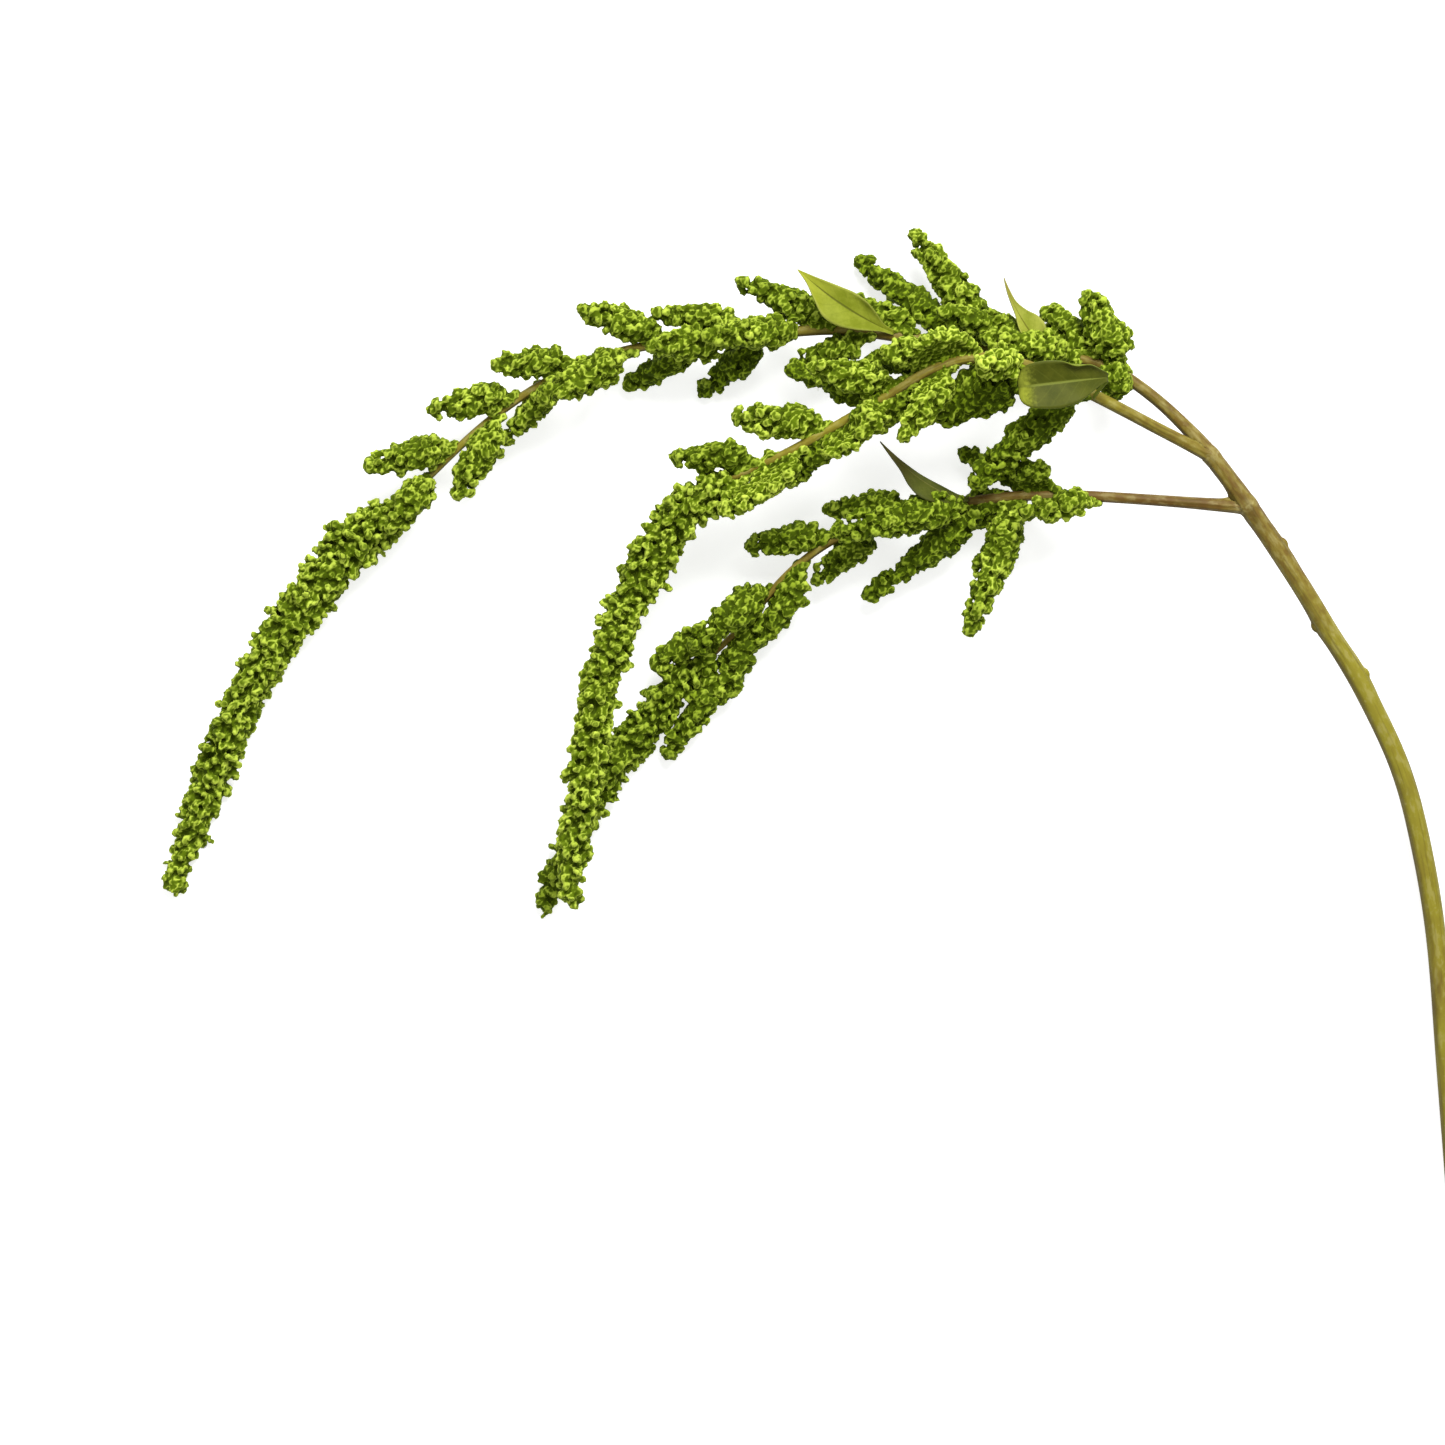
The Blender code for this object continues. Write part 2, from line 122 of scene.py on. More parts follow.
# The florets' skin: its broad lumps, how sharp its fine ridges are and how much of them sinks in, how far
# round a place its relief is measured and how strongly that relief paints shade into the hollows and
# highlights onto the tops, and the patches of its tint.
LUMP_HEIGHT = 1.3 * MM
LUMP_SPAN = 6.0 * MM
RIDGE_SHARPNESS = 3.5
RIDGE_SINK = 0.35
RELIEF_ROUNDS = 10
RELIEF_GAIN = 0.9
TINT_SPAN = 3.5 * MM
TINT_SHIFT = 40.0

# The branches' centre lines in millimetres: x, y, height and radius. They are the construction's own routes.
ORIGIN_SHIFT = Vector((-0.93, 1.27, 0.0))
STALK_ROUTE = (
    (229, -189.5, 3.51, 3.5),
    (226.5, -153.5, 4.3, 3.5),
    (222.5, -104, 6, 3.5),
    (219, -61.5, 8, 3.55),
    (213.4, -29, 10.5, 3.6),
    (205.5, -0.3, 13, 3.55),
    (190.4, 30.3, 16, 3.5),
    (180.7, 45.5, 17.5, 3.45),
    (170.6, 62.2, 19, 3.4),
    (151.2, 90.8, 21.5, 3.2),
    (138.5, 108, 22, 2.75),
    (124, 124, 20.5, 2.2),
    (103.5, 139, 19, 2.15),
    (82.5, 144, 18, 2.1),
    (54.5, 146.5, 18.5, 2.1),
    (21.5, 151, 20, 2.0),
    (6.5, 152.5, 20, 1.95),
    (-26, 150, 20, 1.8),
    (-63, 146, 19.5, 1.6),
    (-93, 135, 18.5, 1.5),
    (-117.5, 118, 17, 1.4),
    (-139, 97.5, 14.5, 1.3),
    (-147.5, 89.5, 13.5, 1.25),
)
MIDDLE_ROUTE = (
    (138.5, 108, 22, 2.3),
    (120, 117, 27, 2.1),
    (98, 128, 33, 2.05),
    (74, 138.5, 38.5, 1.95),
    (56.5, 141.5, 40.5, 1.85),
    (41, 137.5, 41, 1.8),
    (18, 124, 39.5, 1.7),
    (-7, 110, 36.5, 1.5),
    (-32.5, 98, 32, 1.2),
)
LOWER_ROUTE = (
    (151.5, 90, 21.5, 2.2),
    (120.5, 92.5, 20.5, 1.95),
    (82.5, 94.5, 19.5, 1.85),
    (56, 92.5, 19, 1.75),
    (28, 87, 18, 1.55),
    (5.5, 78.5, 17, 1.45),
    (-10.5, 66, 15, 1.35),
    (-25.5, 48.5, 13, 1.15),
    (-39.5, 35.5, 11.5, 1.0),
)

# How far apart the places on a smoothed route are.
ROUTE_PITCH = 3.0

# How brown the bark is at distances along each branch, from 0 for olive green to 1 for brown.
BARK_BROWN = {
    "stalk": (
        (0, 0.1), (120, 0.15), (190, 0.0), (235, 0.05), (262, 0.4), (285, 0.65), (345, 0.6), (400, 0.3),
        (640, 0.2),
    ),
    "middle": ((0, 0.4), (25, 0.35), (70, 0.25), (195, 0.2)),
    "lower": ((0, 0.75), (40, 1.0), (90, 0.8), (130, 0.4), (250, 0.3)),
}

# Where a branch shows on top of its own spikes, as distances along it. The florets up to a depth over it
# come down beside it there and rise from it by a slope. The clusters' seats and the cores keep a margin from
# its bark, and a core's edges are cut first so that it can follow.
BARE_STRETCHES = {"middle": ((90, 131), (143, 192)), "lower": ((70, 98),)}
BARE_DEPTH = 14 * MM
BARE_SLOPE = 2.2
SEAT_MARGIN = 1.5 * MM
CORE_MARGIN = 0.5 * MM
CORE_CUTS = 3

# How sunlit each spray is painted, from 0 for painted shade in deep green to 1 for painted sunlight
# in bright yellow-green, and which pieces differ.
SPRAY_PAINTED_LIGHT = {"upper": 0.55, "middle": 0.8, "lower": 0.3}
PIECE_PAINTED_LIGHT = {
    "upper_spike_07": 0.1,
    "upper_spike_08": 0.3,
    "upper_spike_09": 0.5,
    "upper_spike_12": 0.0,
    "upper_spike_15": 0.1,
    "upper_tassel": 0.7,
    "middle_spike_01": 0.15,
    "middle_spike_02": 0.05,
    "middle_spike_03": 1.0,
    "middle_spike_05": 0.25,
    "middle_spike_07": 0.2,
    "middle_spike_10": 0.1,
    "middle_spike_11": 0.15,
    "middle_spike_13": 0.95,
    "middle_spike_14": 0.35,
    "middle_tassel": 0.8,
    "lower_spike_01": 0.55,
    "lower_spike_03": 0.15,
    "lower_spike_04": 0.5,
    "lower_spike_05": 0.1,
    "lower_spike_06": 0.15,
    "lower_tassel": 0.4,
}

# The leaves' rows: branch, distance along it, swing, rise, roll, length, droop and sweep. They are close to
# the built solids.
LEAVES = {
    "upper_leaf_broad": ("stalk", 444, 12, 26, 0, 41, 25, 0.2),
    "upper_leaf_narrow": ("stalk", 389, 20, 30, 15, 26, 15, 0.6),
    "middle_leaf": ("middle", 48, -26, 40, 0, 44, 64, 0.0),
    "lower_leaf": ("lower", 98, 12, 30, 20, 32, 10, 0.62),
}

# For each leaf, at even steps from its foot to its tip: how wide its two halves are in millimetres, first
# the half on the viewer's lower side, and how far the edge of each half curls up, in degrees.
LEAF_HALVES = {
    "upper_leaf_broad": (
        ((0.9, 1.6, 3.6, 5.8, 7.6, 7.4, 4.6, 1.6, 0.12), (0, 5, 10, -10, -20, 0, 15, 10, 0)),
        ((0.9, 1.4, 3.6, 5.6, 5.8, 4.8, 3.4, 1.8, 0.12), (0, 10, 50, 70, 35, 5, 10, 25, 0)),
    ),
    "upper_leaf_narrow": (
        ((0.9, 3.0, 4.6, 4.8, 3.6, 1.6, 1.0, 0.7, 0.1), (0, 0, -15, 10, 25, 20, 10, 0, 0)),
        ((0.9, 2.4, 4.4, 5.8, 5.4, 3.0, 1.2, 0.7, 0.1), (0, 30, 45, 10, 0, 20, 30, 10, 0)),
    ),
    "middle_leaf": (
        ((0.7, 0.8, 2.0, 4.6, 7.4, 8.8, 8.6, 6.8, 0.2), (0, 0, -5, 5, 10, 0, -10, 0, 0)),
        ((0.7, 1.0, 2.6, 5.4, 7.4, 7.4, 7.8, 6.6, 0.2), (0, 10, 30, 80, 150, 40, 0, 0, 0)),
    ),
    "lower_leaf": (
        ((0.9, 2.2, 4.2, 6.4, 7.4, 5.8, 2.8, 1.2, 0.1), (0, 10, 20, 0, -10, 10, 20, 0, 0)),
        ((0.9, 1.1, 1.5, 1.8, 1.7, 1.3, 1.0, 0.7, 0.1), (0, 20, 40, 50, 40, 30, 20, 0, 0)),
    ),
}

# How far a blade's foot stands off its seat on the branch, in millimetres, at the end of a thin stalk that
# takes up a share of the length.
LEAF_STALKS = {"middle_leaf": ((10.0, 7.5, 1.0), 0.2)}

# How far a leaf's last stretch bends down beyond its even droop, in degrees.
LEAF_HOOKS = {"middle_leaf": 75, "upper_leaf_broad": 0, "upper_leaf_narrow": -10, "lower_leaf": -10}

# The side veins of a leaf: how many there are along it, how far they slant and how strongly they show.
SIDE_VEINS = 9.0
VEIN_SLANT = 1.7
VEIN_STRENGTH = 0.13

# Each leaf's colours: its two greens, its veins, edge, tip and back, and from where to where along it the
# tip's colour sets in, as shares of the length.
LEAF_LOOKS = {
    "upper_leaf_broad": {
        "blade": (0.15, 0.18, 0.008), "shade": (0.21, 0.24, 0.02), "vein": (0.07, 0.08, 0.004),
        "edge": (0.27, 0.29, 0.05), "tip": (0.26, 0.28, 0.02), "back": (0.12, 0.15, 0.02),
        "tip_reach": (0.5, 1.0),
    },
    "upper_leaf_narrow": {
        "blade": (0.2, 0.23, 0.02), "shade": (0.27, 0.29, 0.04), "vein": (0.11, 0.11, 0.01),
        "edge": (0.28, 0.29, 0.06), "tip": (0.2, 0.17, 0.03), "back": (0.13, 0.15, 0.02),
        "tip_reach": (0.6, 1.0),
    },
    "middle_leaf": {
        "blade": (0.042, 0.05, 0.001), "shade": (0.06, 0.067, 0.003), "vein": (0.13, 0.15, 0.02),
        "edge": (0.06, 0.07, 0.006), "tip": (0.27, 0.3, 0.03), "back": (0.16, 0.2, 0.02),
        "tip_reach": (0.8, 0.94),
    },
    "lower_leaf": {
        "blade": (0.045, 0.055, 0.005), "shade": (0.065, 0.075, 0.008), "vein": (0.1, 0.1, 0.02),
        "edge": (0.04, 0.045, 0.005), "tip": (0.07, 0.06, 0.012), "back": (0.06, 0.07, 0.01),
        "tip_reach": (0.5, 0.9),
    },
}


class FloretSettings(bpy.types.PropertyGroup):
    """Sizes and colours of the buds, with their painted highlights and painted shade."""

    spike_spacing: FloatProperty(
        name="Spike spacing", description="Distance between bud clusters on a spike", default=3.9 * MM,
        min=1 * MM, unit="LENGTH",
    )
    tassel_spacing: FloatProperty(
        name="Tassel spacing", description="Distance between groups of lobes on a tassel", default=4.5 * MM,
        min=1 * MM, unit="LENGTH",
    )
    bud_radius: FloatProperty(
        name="Bud radius", description="Radius of a whole cluster of buds on a spike", default=2.5 * MM,
        unit="LENGTH",
    )
    lobe_length: FloatProperty(
        name="Lobe length", description="Length of a full lobe on a tassel", default=6.2 * MM, unit="LENGTH"
    )
    spike_core: FloatProperty(
        name="Spike core", description="How far a spike's core lies below the solid's surface",
        default=0.9 * MM, unit="LENGTH",
    )
    tassel_core: FloatProperty(
        name="Tassel core", description="How far a tassel's core lies below the solid's surface",
        default=2.0 * MM, unit="LENGTH",
    )
    skin_detail: FloatProperty(
        name="Skin detail", description="Size of the faces of the florets' skin", default=0.6 * MM,
        unit="LENGTH",
    )
    crinkle_span: FloatProperty(
        name="Crinkle span", description="Distance between the skin's fine ridges", default=1.8 * MM,
        unit="LENGTH",
    )
    spike_crinkle: FloatProperty(
        name="Spike crinkle", description="Height of the fine ridges on a spike's skin", default=0.45 * MM,
        unit="LENGTH",
    )
    tassel_crinkle: FloatProperty(
        name="Tassel crinkle", description="Height of the fine ridges on a tassel's skin", default=0.38 * MM,
        unit="LENGTH",
    )
    seed: IntProperty(name="Seed", description="Seed of the clusters' small differences", default=11)
    # Crest is the painted highlight on the buds' tips and crinkles in sunlight, and body their sunlit side.
    crest: FloatVectorProperty(
        name="Crest", description="Colour of a sunlit bud's tip", default=(0.44, 0.54, 0.065),
        subtype="COLOR",
    )
    body: FloatVectorProperty(
        name="Body", description="Colour of a sunlit bud's side", default=(0.08, 0.124, 0.002),
        subtype="COLOR",
    )
    # The shaded crest and shaded body are the same two colours as painted shade, for the pieces that lie in
    # shadow.
    shaded_crest: FloatVectorProperty(
        name="Shaded crest", description="Colour of a deep green bud's tip", default=(0.18, 0.255, 0.01),
        subtype="COLOR",
    )
    shaded_body: FloatVectorProperty(
        name="Shaded body", description="Colour of a deep green bud's side", default=(0.036, 0.058, 0.001),
        subtype="COLOR",
    )
    # Painted shade in the hollows between the buds.
    painted_crevice_shade: FloatVectorProperty(
        name="Crevice", description="Colour between the buds", default=(0.032, 0.05, 0.001), subtype="COLOR"
    )


class BarkSettings(bpy.types.PropertyGroup):
    """Colours of the stem."""

    olive: FloatVectorProperty(
        name="Olive", description="Green bark", default=(0.195, 0.17, 0.013), subtype="COLOR"
    )
    tan: FloatVectorProperty(
        name="Tan", description="Tan bark near the forks", default=(0.16, 0.12, 0.016), subtype="COLOR"
    )
    brown: FloatVectorProperty(
        name="Brown", description="Brown bark", default=(0.1, 0.052, 0.008), subtype="COLOR"
    )
    # The streaks' colour also paints shade along one flank of each branch.
    streak: FloatVectorProperty(
        name="Streak", description="Dark lengthwise streaks", default=(0.055, 0.038, 0.005),
        subtype="COLOR",
    )
    cut: FloatVectorProperty(
        name="Cut", description="The pale inside at the cut end", default=(0.34, 0.3, 0.12), subtype="COLOR"
    )
    rib_height: FloatProperty(
        name="Rib height", description="Height of the stem's lengthwise ribs", default=0.07 * MM,
        unit="LENGTH",
    )


class LeafSettings(bpy.types.PropertyGroup):
    """Sizes of the leaf blades."""

    thickness: FloatProperty(
        name="Thickness", description="Thickness of a blade", default=0.4 * MM, unit="LENGTH"
    )
    rows: IntProperty(name="Rows", description="Faces along a blade", default=48)
    columns: IntProperty(name="Columns", description="Faces across a blade", default=16)


class StageSettings(bpy.types.PropertyGroup):
    """The floor, the lights and the camera."""

    floor: FloatVectorProperty(
        name="Floor", description="Colour of the floor", default=(0.5, 0.5, 0.5), subtype="COLOR"
    )
    floor_glow: FloatProperty(
        name="Floor glow", description="How strongly the floor shines, as a light table does", default=0.7
    )
    key_power: FloatProperty(
        name="Key light", description="Power of the main light", default=72, unit="POWER"
    )
    fill_power: FloatProperty(
        name="Fill light", description="Power of the fill light", default=8, unit="POWER"
    )
    sky: FloatProperty(name="Sky", description="Strength of the even light from all round", default=0.5)
    view_width: FloatProperty(
        name="View width", description="Width that the camera sees at the stem's height",
        default=505.75 * MM, unit="LENGTH",
    )
    camera_height: FloatProperty(
        name="Camera height", description="Height of the camera above the floor", default=2.0,
        unit="LENGTH",
    )


class Value:
    """A shader socket that takes Python's arithmetic."""

    def __init__(self, shader, socket):
        self.shader = shader
        self.socket = socket

    def maths(self, operation, first, second, clamp=False):
        settings = {"operation": operation, "use_clamp": clamp}
        return self.shader.node("ShaderNodeMath", settings, {0: first, 1: second})

    def __add__(self, other):
        return self.maths("ADD", self, other)

    def __sub__(self, other):
        return self.maths("SUBTRACT", self, other)

    def __rsub__(self, other):
        return self.maths("SUBTRACT", other, self)

    def __mul__(self, other):
        return self.maths("MULTIPLY", self, other)

    __radd__ = __add__
    __rmul__ = __mul__

    def __abs__(self):
        return self.maths("ABSOLUTE", self, 0.0)

    def clamped(self):
        return self.maths("ADD", self, 0.0, clamp=True)

    def step(self, low, high):
        """0 below one value, 1 above another, and smooth between them."""
        settings = {"interpolation_type": "SMOOTHSTEP"}
        sockets = {"Value": self, "From Min": low, "From Max": high}
        return self.shader.node("ShaderNodeMapRange", settings, sockets)

    def folded(self, width):
        """A zigzag: 0 at every whole multiple of twice the width, and the width halfway between."""
        return self.maths("PINGPONG", self, width)


class Shader:
    """A material whose nodes are written as expressions."""

    def __init__(self, name):
        self.material = bpy.data.materials.new(name)
        self.material.use_nodes = True
        self.tree = self.material.node_tree
        self.surface = self.tree.nodes["Principled BSDF"]

    def feed(self, socket, value):
        if isinstance(value, Value):
            self.tree.links.new(value.socket, socket)
        else:
            socket.default_value = value

    def node(self, kind, settings=None, sockets=None, output=0):
        node = self.tree.nodes.new(kind)
        for name, value in (settings or {}).items():
            setattr(node, name, value)
        for name, value in (sockets or {}).items():
            self.feed(node.inputs[name], value)
        return Value(self, node.outputs[output])

    def set(self, **sockets):
        """Values or links for the surface's sockets, with underscores for the spaces in their names."""
        for name, value in sockets.items():
            self.feed(self.surface.inputs[name.replace("_", " ")], value)

    def place(self):
        return self.node("ShaderNodeTexCoord", output="Object")

    def attribute(self, name, output="Fac"):
        return self.node("ShaderNodeAttribute", {"attribute_name": name}, output=output)

    def part(self, vector, axis):
        """One coordinate of a vector."""
        return self.node("ShaderNodeSeparateXYZ", None, {0: vector}, output=axis)

    def drawn_out(self, vector, share):
        """A vector with its third coordinate shrunk, which draws a pattern out along a branch."""
        return self.node("ShaderNodeMapping", None, {"Vector": vector, "Scale": (1.0, 1.0, share)})

    def noise(self, vector, cells, detail):
        """Noise from 0 to 1 with this many cells in a metre."""
        return self.node("ShaderNodeTexNoise", None, {"Vector": vector, "Scale": cells, "Detail": detail})

    def mix(self, factor, first, second):
        """A mix of two colours."""
        first = first if isinstance(first, Value) else (*first, 1.0)
        second = second if isinstance(second, Value) else (*second, 1.0)
        return self.node(
            "ShaderNodeMix", {"data_type": "RGBA"}, {"Factor": factor, 6: first, 7: second}, output=2
        )

    def layered(self, colour, *layers):
        """A colour with others laid over it in turn, each given with the share of it that shows."""
        for share, layer in layers:
            colour = self.mix(share, colour, layer)
        return colour

    def bump(self, height, strength, depth):
        sockets = {"Height": height, "Strength": strength, "Distance": depth}
        self.set(Normal=self.node("ShaderNodeBump", None, sockets))


def floret_material(settings):
    """Buds: pale yellow-green painted highlights on tips and crinkles over green sides, painted shade in the
    crevices, and each piece painted more sunlit or more shaded.
    """
    shader = Shader(BUD_MATERIAL)
    height = shader.attribute("height")
    ridge = shader.attribute("ridge")
    tint = shader.attribute("tint")
    painted_light = shader.attribute("painted_light")
    place = shader.place()
    mottle = shader.noise(place, cells=600.0, detail=3.0) - 0.5
    patch = shader.noise(place, cells=110.0, detail=1.0) - 0.5
    grain = shader.noise(place, cells=1200.0, detail=2.0)
    # Painted sunlight or painted shade for each piece, with its random tint and patches, mixes the sunlit
    # and the shaded colours.
    light = (painted_light + tint * 0.5 + patch * 0.8).clamped()
    # Low relief is painted shade in the crevice colour, and high relief and the ridges carry the crest's
    # painted highlight.
    raised = height + mottle * 0.5
    pale = raised * 0.7 + ridge * 0.4 + patch * 0.4
    body = shader.mix(light, settings.shaded_body, settings.body)
    crest = shader.mix(light, settings.shaded_crest, settings.crest)
    colour = shader.layered(settings.painted_crevice_shade, (raised.step(0.0, 0.5), body), (pale.step(0.5, 1.15), crest))
    shader.set(Base_Color=colour, Roughness=0.8, Specular_IOR_Level=0.05)
    shader.bump(grain, strength=0.5, depth=0.3 * MM)
    return shader.material


def bark_material(settings):
    """Bark: olive turning tan and brown, with dark streaks, pale rings and a pale cut end, and painted shade
    along one flank of each branch.
    """
    shader = Shader("bark")
    bark = shader.attribute("bark", output="Vector")
    brown = shader.attribute("brown")
    ring = shader.attribute("ring")
    cut = shader.attribute("cut")
    painted_shade_flank = shader.attribute("painted_shade_flank")
    place = shader.place()
    streak = shader.noise(shader.drawn_out(bark, 0.05), cells=900.0, detail=3.0)
    band = shader.noise(shader.drawn_out(bark, 0.12), cells=260.0, detail=2.0)
    blotch = shader.noise(shader.drawn_out(bark, 0.4), cells=520.0, detail=3.0)
    patch = shader.noise(place, cells=55.0, detail=2.0) - 0.5
    speckle = shader.noise(place, cells=700.0, detail=2.0)
    ripe = (brown + patch * 0.7 + (band - 0.5) * 0.5).clamped()
    pith = shader.mix(cut.step(0.5, 1.0), settings.olive, settings.cut)
    colour = shader.layered(
        settings.olive,
        (ripe.step(0.0, 0.55), settings.tan),
        (ripe.step(0.5, 1.0), settings.brown),
        (blotch.step(0.48, 0.62) * (ripe + 0.1) * 0.9, settings.brown),
        ((1.0 - blotch.step(0.36, 0.5)) * 0.25, settings.cut),
        (band.step(0.55, 0.8) * 0.5, settings.streak),
        (streak.step(0.52, 0.75) * 0.5, settings.streak),
        # Painted shade along one flank of each branch, in the streaks' colour, broken up by the bands.
        ((painted_shade_flank + (band - 0.5)).step(0.3, 1.0) * 0.75, settings.streak),
        (speckle.step(0.62, 0.8) * 0.2, settings.cut),
        (ring * speckle.step(0.3, 0.8) * 0.6, settings.cut),
        (cut.step(0.0, 0.1), pith),
    )
    shader.set(Base_Color=colour, Roughness=0.55, Specular_IOR_Level=0.15)
    shader.bump(streak + band * 0.6, strength=0.35, depth=0.25 * MM)
    return shader.material


def leaf_material(name, look):
    """A leaf: two greens, a midrib and side veins, and other colours at its edge, tip and back."""
    shader = Shader(name)
    blade = shader.node("ShaderNodeTexCoord", output="UV")
    along = shader.part(blade, "X")
    across = abs(shader.part(blade, "Y") - 0.5) * 2.0
    place = shader.place()
    patch = shader.noise(place, cells=160.0, detail=3.0)
    grain = shader.noise(place, cells=900.0, detail=2.0) - 0.5
    midrib = (1.0 - across.step(0.02, 0.09)) * (1.0 - along.step(0.8, 1.0))
    from_vein = (along * SIDE_VEINS - across * VEIN_SLANT + grain * 0.15).folded(0.5)
    side_vein = (1.0 - from_vein.step(0.0, 0.09)) * (1.0 - across.step(0.7, 1.0)) * VEIN_STRENGTH
    colour = shader.layered(
        look["blade"],
        ((patch + grain * 0.3).step(0.35, 0.7), look["shade"]),
        ((along + grain * 0.1).step(*look["tip_reach"]), look["tip"]),
        ((across + grain * 0.1).step(0.8, 1.0) * 0.7, look["edge"]),
        (side_vein, look["vein"]),
        (midrib * 0.9, look["vein"]),
        (shader.attribute("back") * 0.9, look["back"]),
    )
    shader.set(Base_Color=colour, Roughness=0.6, Specular_IOR_Level=0.12)
    shader.bump((1.0 - midrib) * 0.6 - side_vein + grain * 0.4, strength=0.5, depth=0.25 * MM)
    return shader.material


def add_primitive(operator, name, **settings):
    """A primitive added with nothing else selected."""
    bpy.ops.object.select_all(action="DESELECT")
    operator(**settings)
    piece = bpy.context.object
    piece.name = name
    return piece


def shape(piece, picks, operator, **settings):
    """Run an edit mode operator on the vertices that a test picks."""
    bpy.context.view_layer.objects.active = piece
    bpy.ops.object.mode_set(mode="EDIT")
    bpy.ops.mesh.select_all(action="DESELECT")
    bm = bmesh.from_edit_mesh(piece.data)
    for vert in bm.verts:
        vert.select_set(picks(vert.co))
    bm.select_flush_mode()
    bmesh.update_edit_mesh(piece.data)
    operator(**settings)
    bpy.ops.object.mode_set(mode="OBJECT")


def merged_copy(node, name):
    """A CAD node's mesh as a new object, its loose triangles merged."""
    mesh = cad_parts[node].data.copy()
    bm = bmesh.new()
    bm.from_mesh(mesh)
    bmesh.ops.remove_doubles(bm, verts=bm.verts, dist=MERGE_DISTANCE)
    bm.to_mesh(mesh)
    bm.free()
    mesh.materials.clear()
    mesh.name = name
    piece = bpy.data.objects.new(name, mesh)
    bpy.context.scene.collection.objects.link(piece)
    return piece


def apply_modifier(piece, kind, **settings):
    """Add a modifier with its settings, and apply it."""
    modifier = piece.modifiers.new(kind.lower(), kind)
    for name, value in settings.items():
        setattr(modifier, name, value)
    bpy.ops.object.select_all(action="DESELECT")
    piece.select_set(True)
    bpy.context.view_layer.objects.active = piece
    bpy.ops.object.modifier_apply(modifier=modifier.name)


def coordinates(mesh):
    """A mesh's vertices as an array."""
    places = np.empty(len(mesh.vertices) * 3, np.float32)
    mesh.vertices.foreach_get("co", places)
    return places.reshape(-1, 3)


def store(mesh, name, values, kind="FLOAT"):
    """Keep a value for each vertex as an attribute."""
    attribute = mesh.attributes.new(name, kind, "POINT")
    key = "value" if kind == "FLOAT" else "vector"
    attribute.data.foreach_set(key, np.asarray(values, np.float32).ravel())


def move_vertices(mesh, places):
    """Put a mesh's vertices at new places, none of them under the floor."""
    places[:, 2] = np.maximum(places[:, 2], 0.0)
    mesh.vertices.foreach_set("co", places.astype(np.float32).ravel())
    mesh.update()


def dress(piece, slot, *nodes):
    """Seat a finished piece in the frame, in place of its CAD nodes."""
    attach(piece, "root")
    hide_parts(*nodes)


def curve(before, start, end, after, t):
    """The value a share of the way from start to end, on the smooth curve through four values."""
    return (
        start
        + (end - before) * 0.5 * t
        + (before - 2.5 * start + 2 * end - 0.5 * after) * t**2
        + (1.5 * start - 0.5 * before - 1.5 * end + 0.5 * after) * t**3
    )


def smooth_route(route):
    """Places close together on the smooth line through a route, in metres, each with its radius."""
    rows = [Vector(row) for row in route]
    rows = [2 * rows[0] - rows[1], *rows, 2 * rows[-1] - rows[-2]]
    line = []
    for before, start, end, after in zip(rows, rows[1:], rows[2:], rows[3:]):
        steps = max(1, round((end - start).length / ROUTE_PITCH))
        line += [curve(before, start, end, after, step / steps) for step in range(steps)]
    line.append(rows[-2])
    return [(MM * (row.to_3d() + ORIGIN_SHIFT), MM * row[3]) for row in line]


BRANCHES = {
    "stalk": smooth_route(STALK_ROUTE),
    "middle": smooth_route(MIDDLE_ROUTE),
    "lower": smooth_route(LOWER_ROUTE),
}


def travelled(line):
    """The distance along a line at each of its points."""
    steps = [(end - start).length for (start, _), (end, _) in zip(line, line[1:])]
    return np.concatenate([[0.0], np.cumsum(steps)])


def point_along(line, distance):
    """The place, forward direction and radius at a distance along a line."""
    for (start, start_radius), (end, end_radius) in zip(line, line[1:]):
        step = (end - start).length
        if distance <= step:
            break
        distance -= step
    part = min(1.0, distance / step)
    radius = start_radius + part * (end_radius - start_radius)
    return start.lerp(end, part), (end - start).normalized(), radius


def nearest_distance(line, place):
    """How far along a line its nearest point to a place lies."""
    gaps = [(point - place).length for point, _ in line]
    return float(travelled(line)[gaps.index(min(gaps))])


def fork_distance(name):
    """How far along the stalk a branch leaves it."""
    return nearest_distance(BRANCHES["stalk"], BRANCHES[name][0][0])


def bark_coordinates(places):
    """For each place, its branch, where it lies by that branch, and the branch's radius and directions.

    Where it lies is how far to the side, how far above the middle, and the distance along the branch.
    """
    names = list(BRANCHES)
    lines = [np.array([[*place] for place, _ in BRANCHES[name]]) for name in names]
    radii = [np.array([radius for _, radius in BRANCHES[name]]) for name in names]
    points = np.concatenate(lines)
    owner = np.concatenate([np.full(len(line), number) for number, line in enumerate(lines)])
    distance = np.concatenate([travelled(BRANCHES[name]) for name in names])
    forward = np.concatenate([np.gradient(line, axis=0) for line in lines])
    forward /= np.linalg.norm(forward, axis=1, keepdims=True)
    side = np.cross(forward, UP)
    side /= np.linalg.norm(side, axis=1, keepdims=True)
    level = np.cross(side, forward)
    radius = np.concatenate(radii)
    gaps = np.linalg.norm(places[:, None, :] - points[None, :, :], axis=2) - radius
    nearest = gaps.argmin(axis=1)
    offset = places - points[nearest]
    beside = (offset * side[nearest]).sum(axis=1)
    above = (offset * level[nearest]).sum(axis=1)
    ahead = (offset * forward[nearest]).sum(axis=1)
    local = np.stack([beside, above, distance[nearest] + ahead], axis=1)
    return owner[nearest], local, radius[nearest], side[nearest], level[nearest]


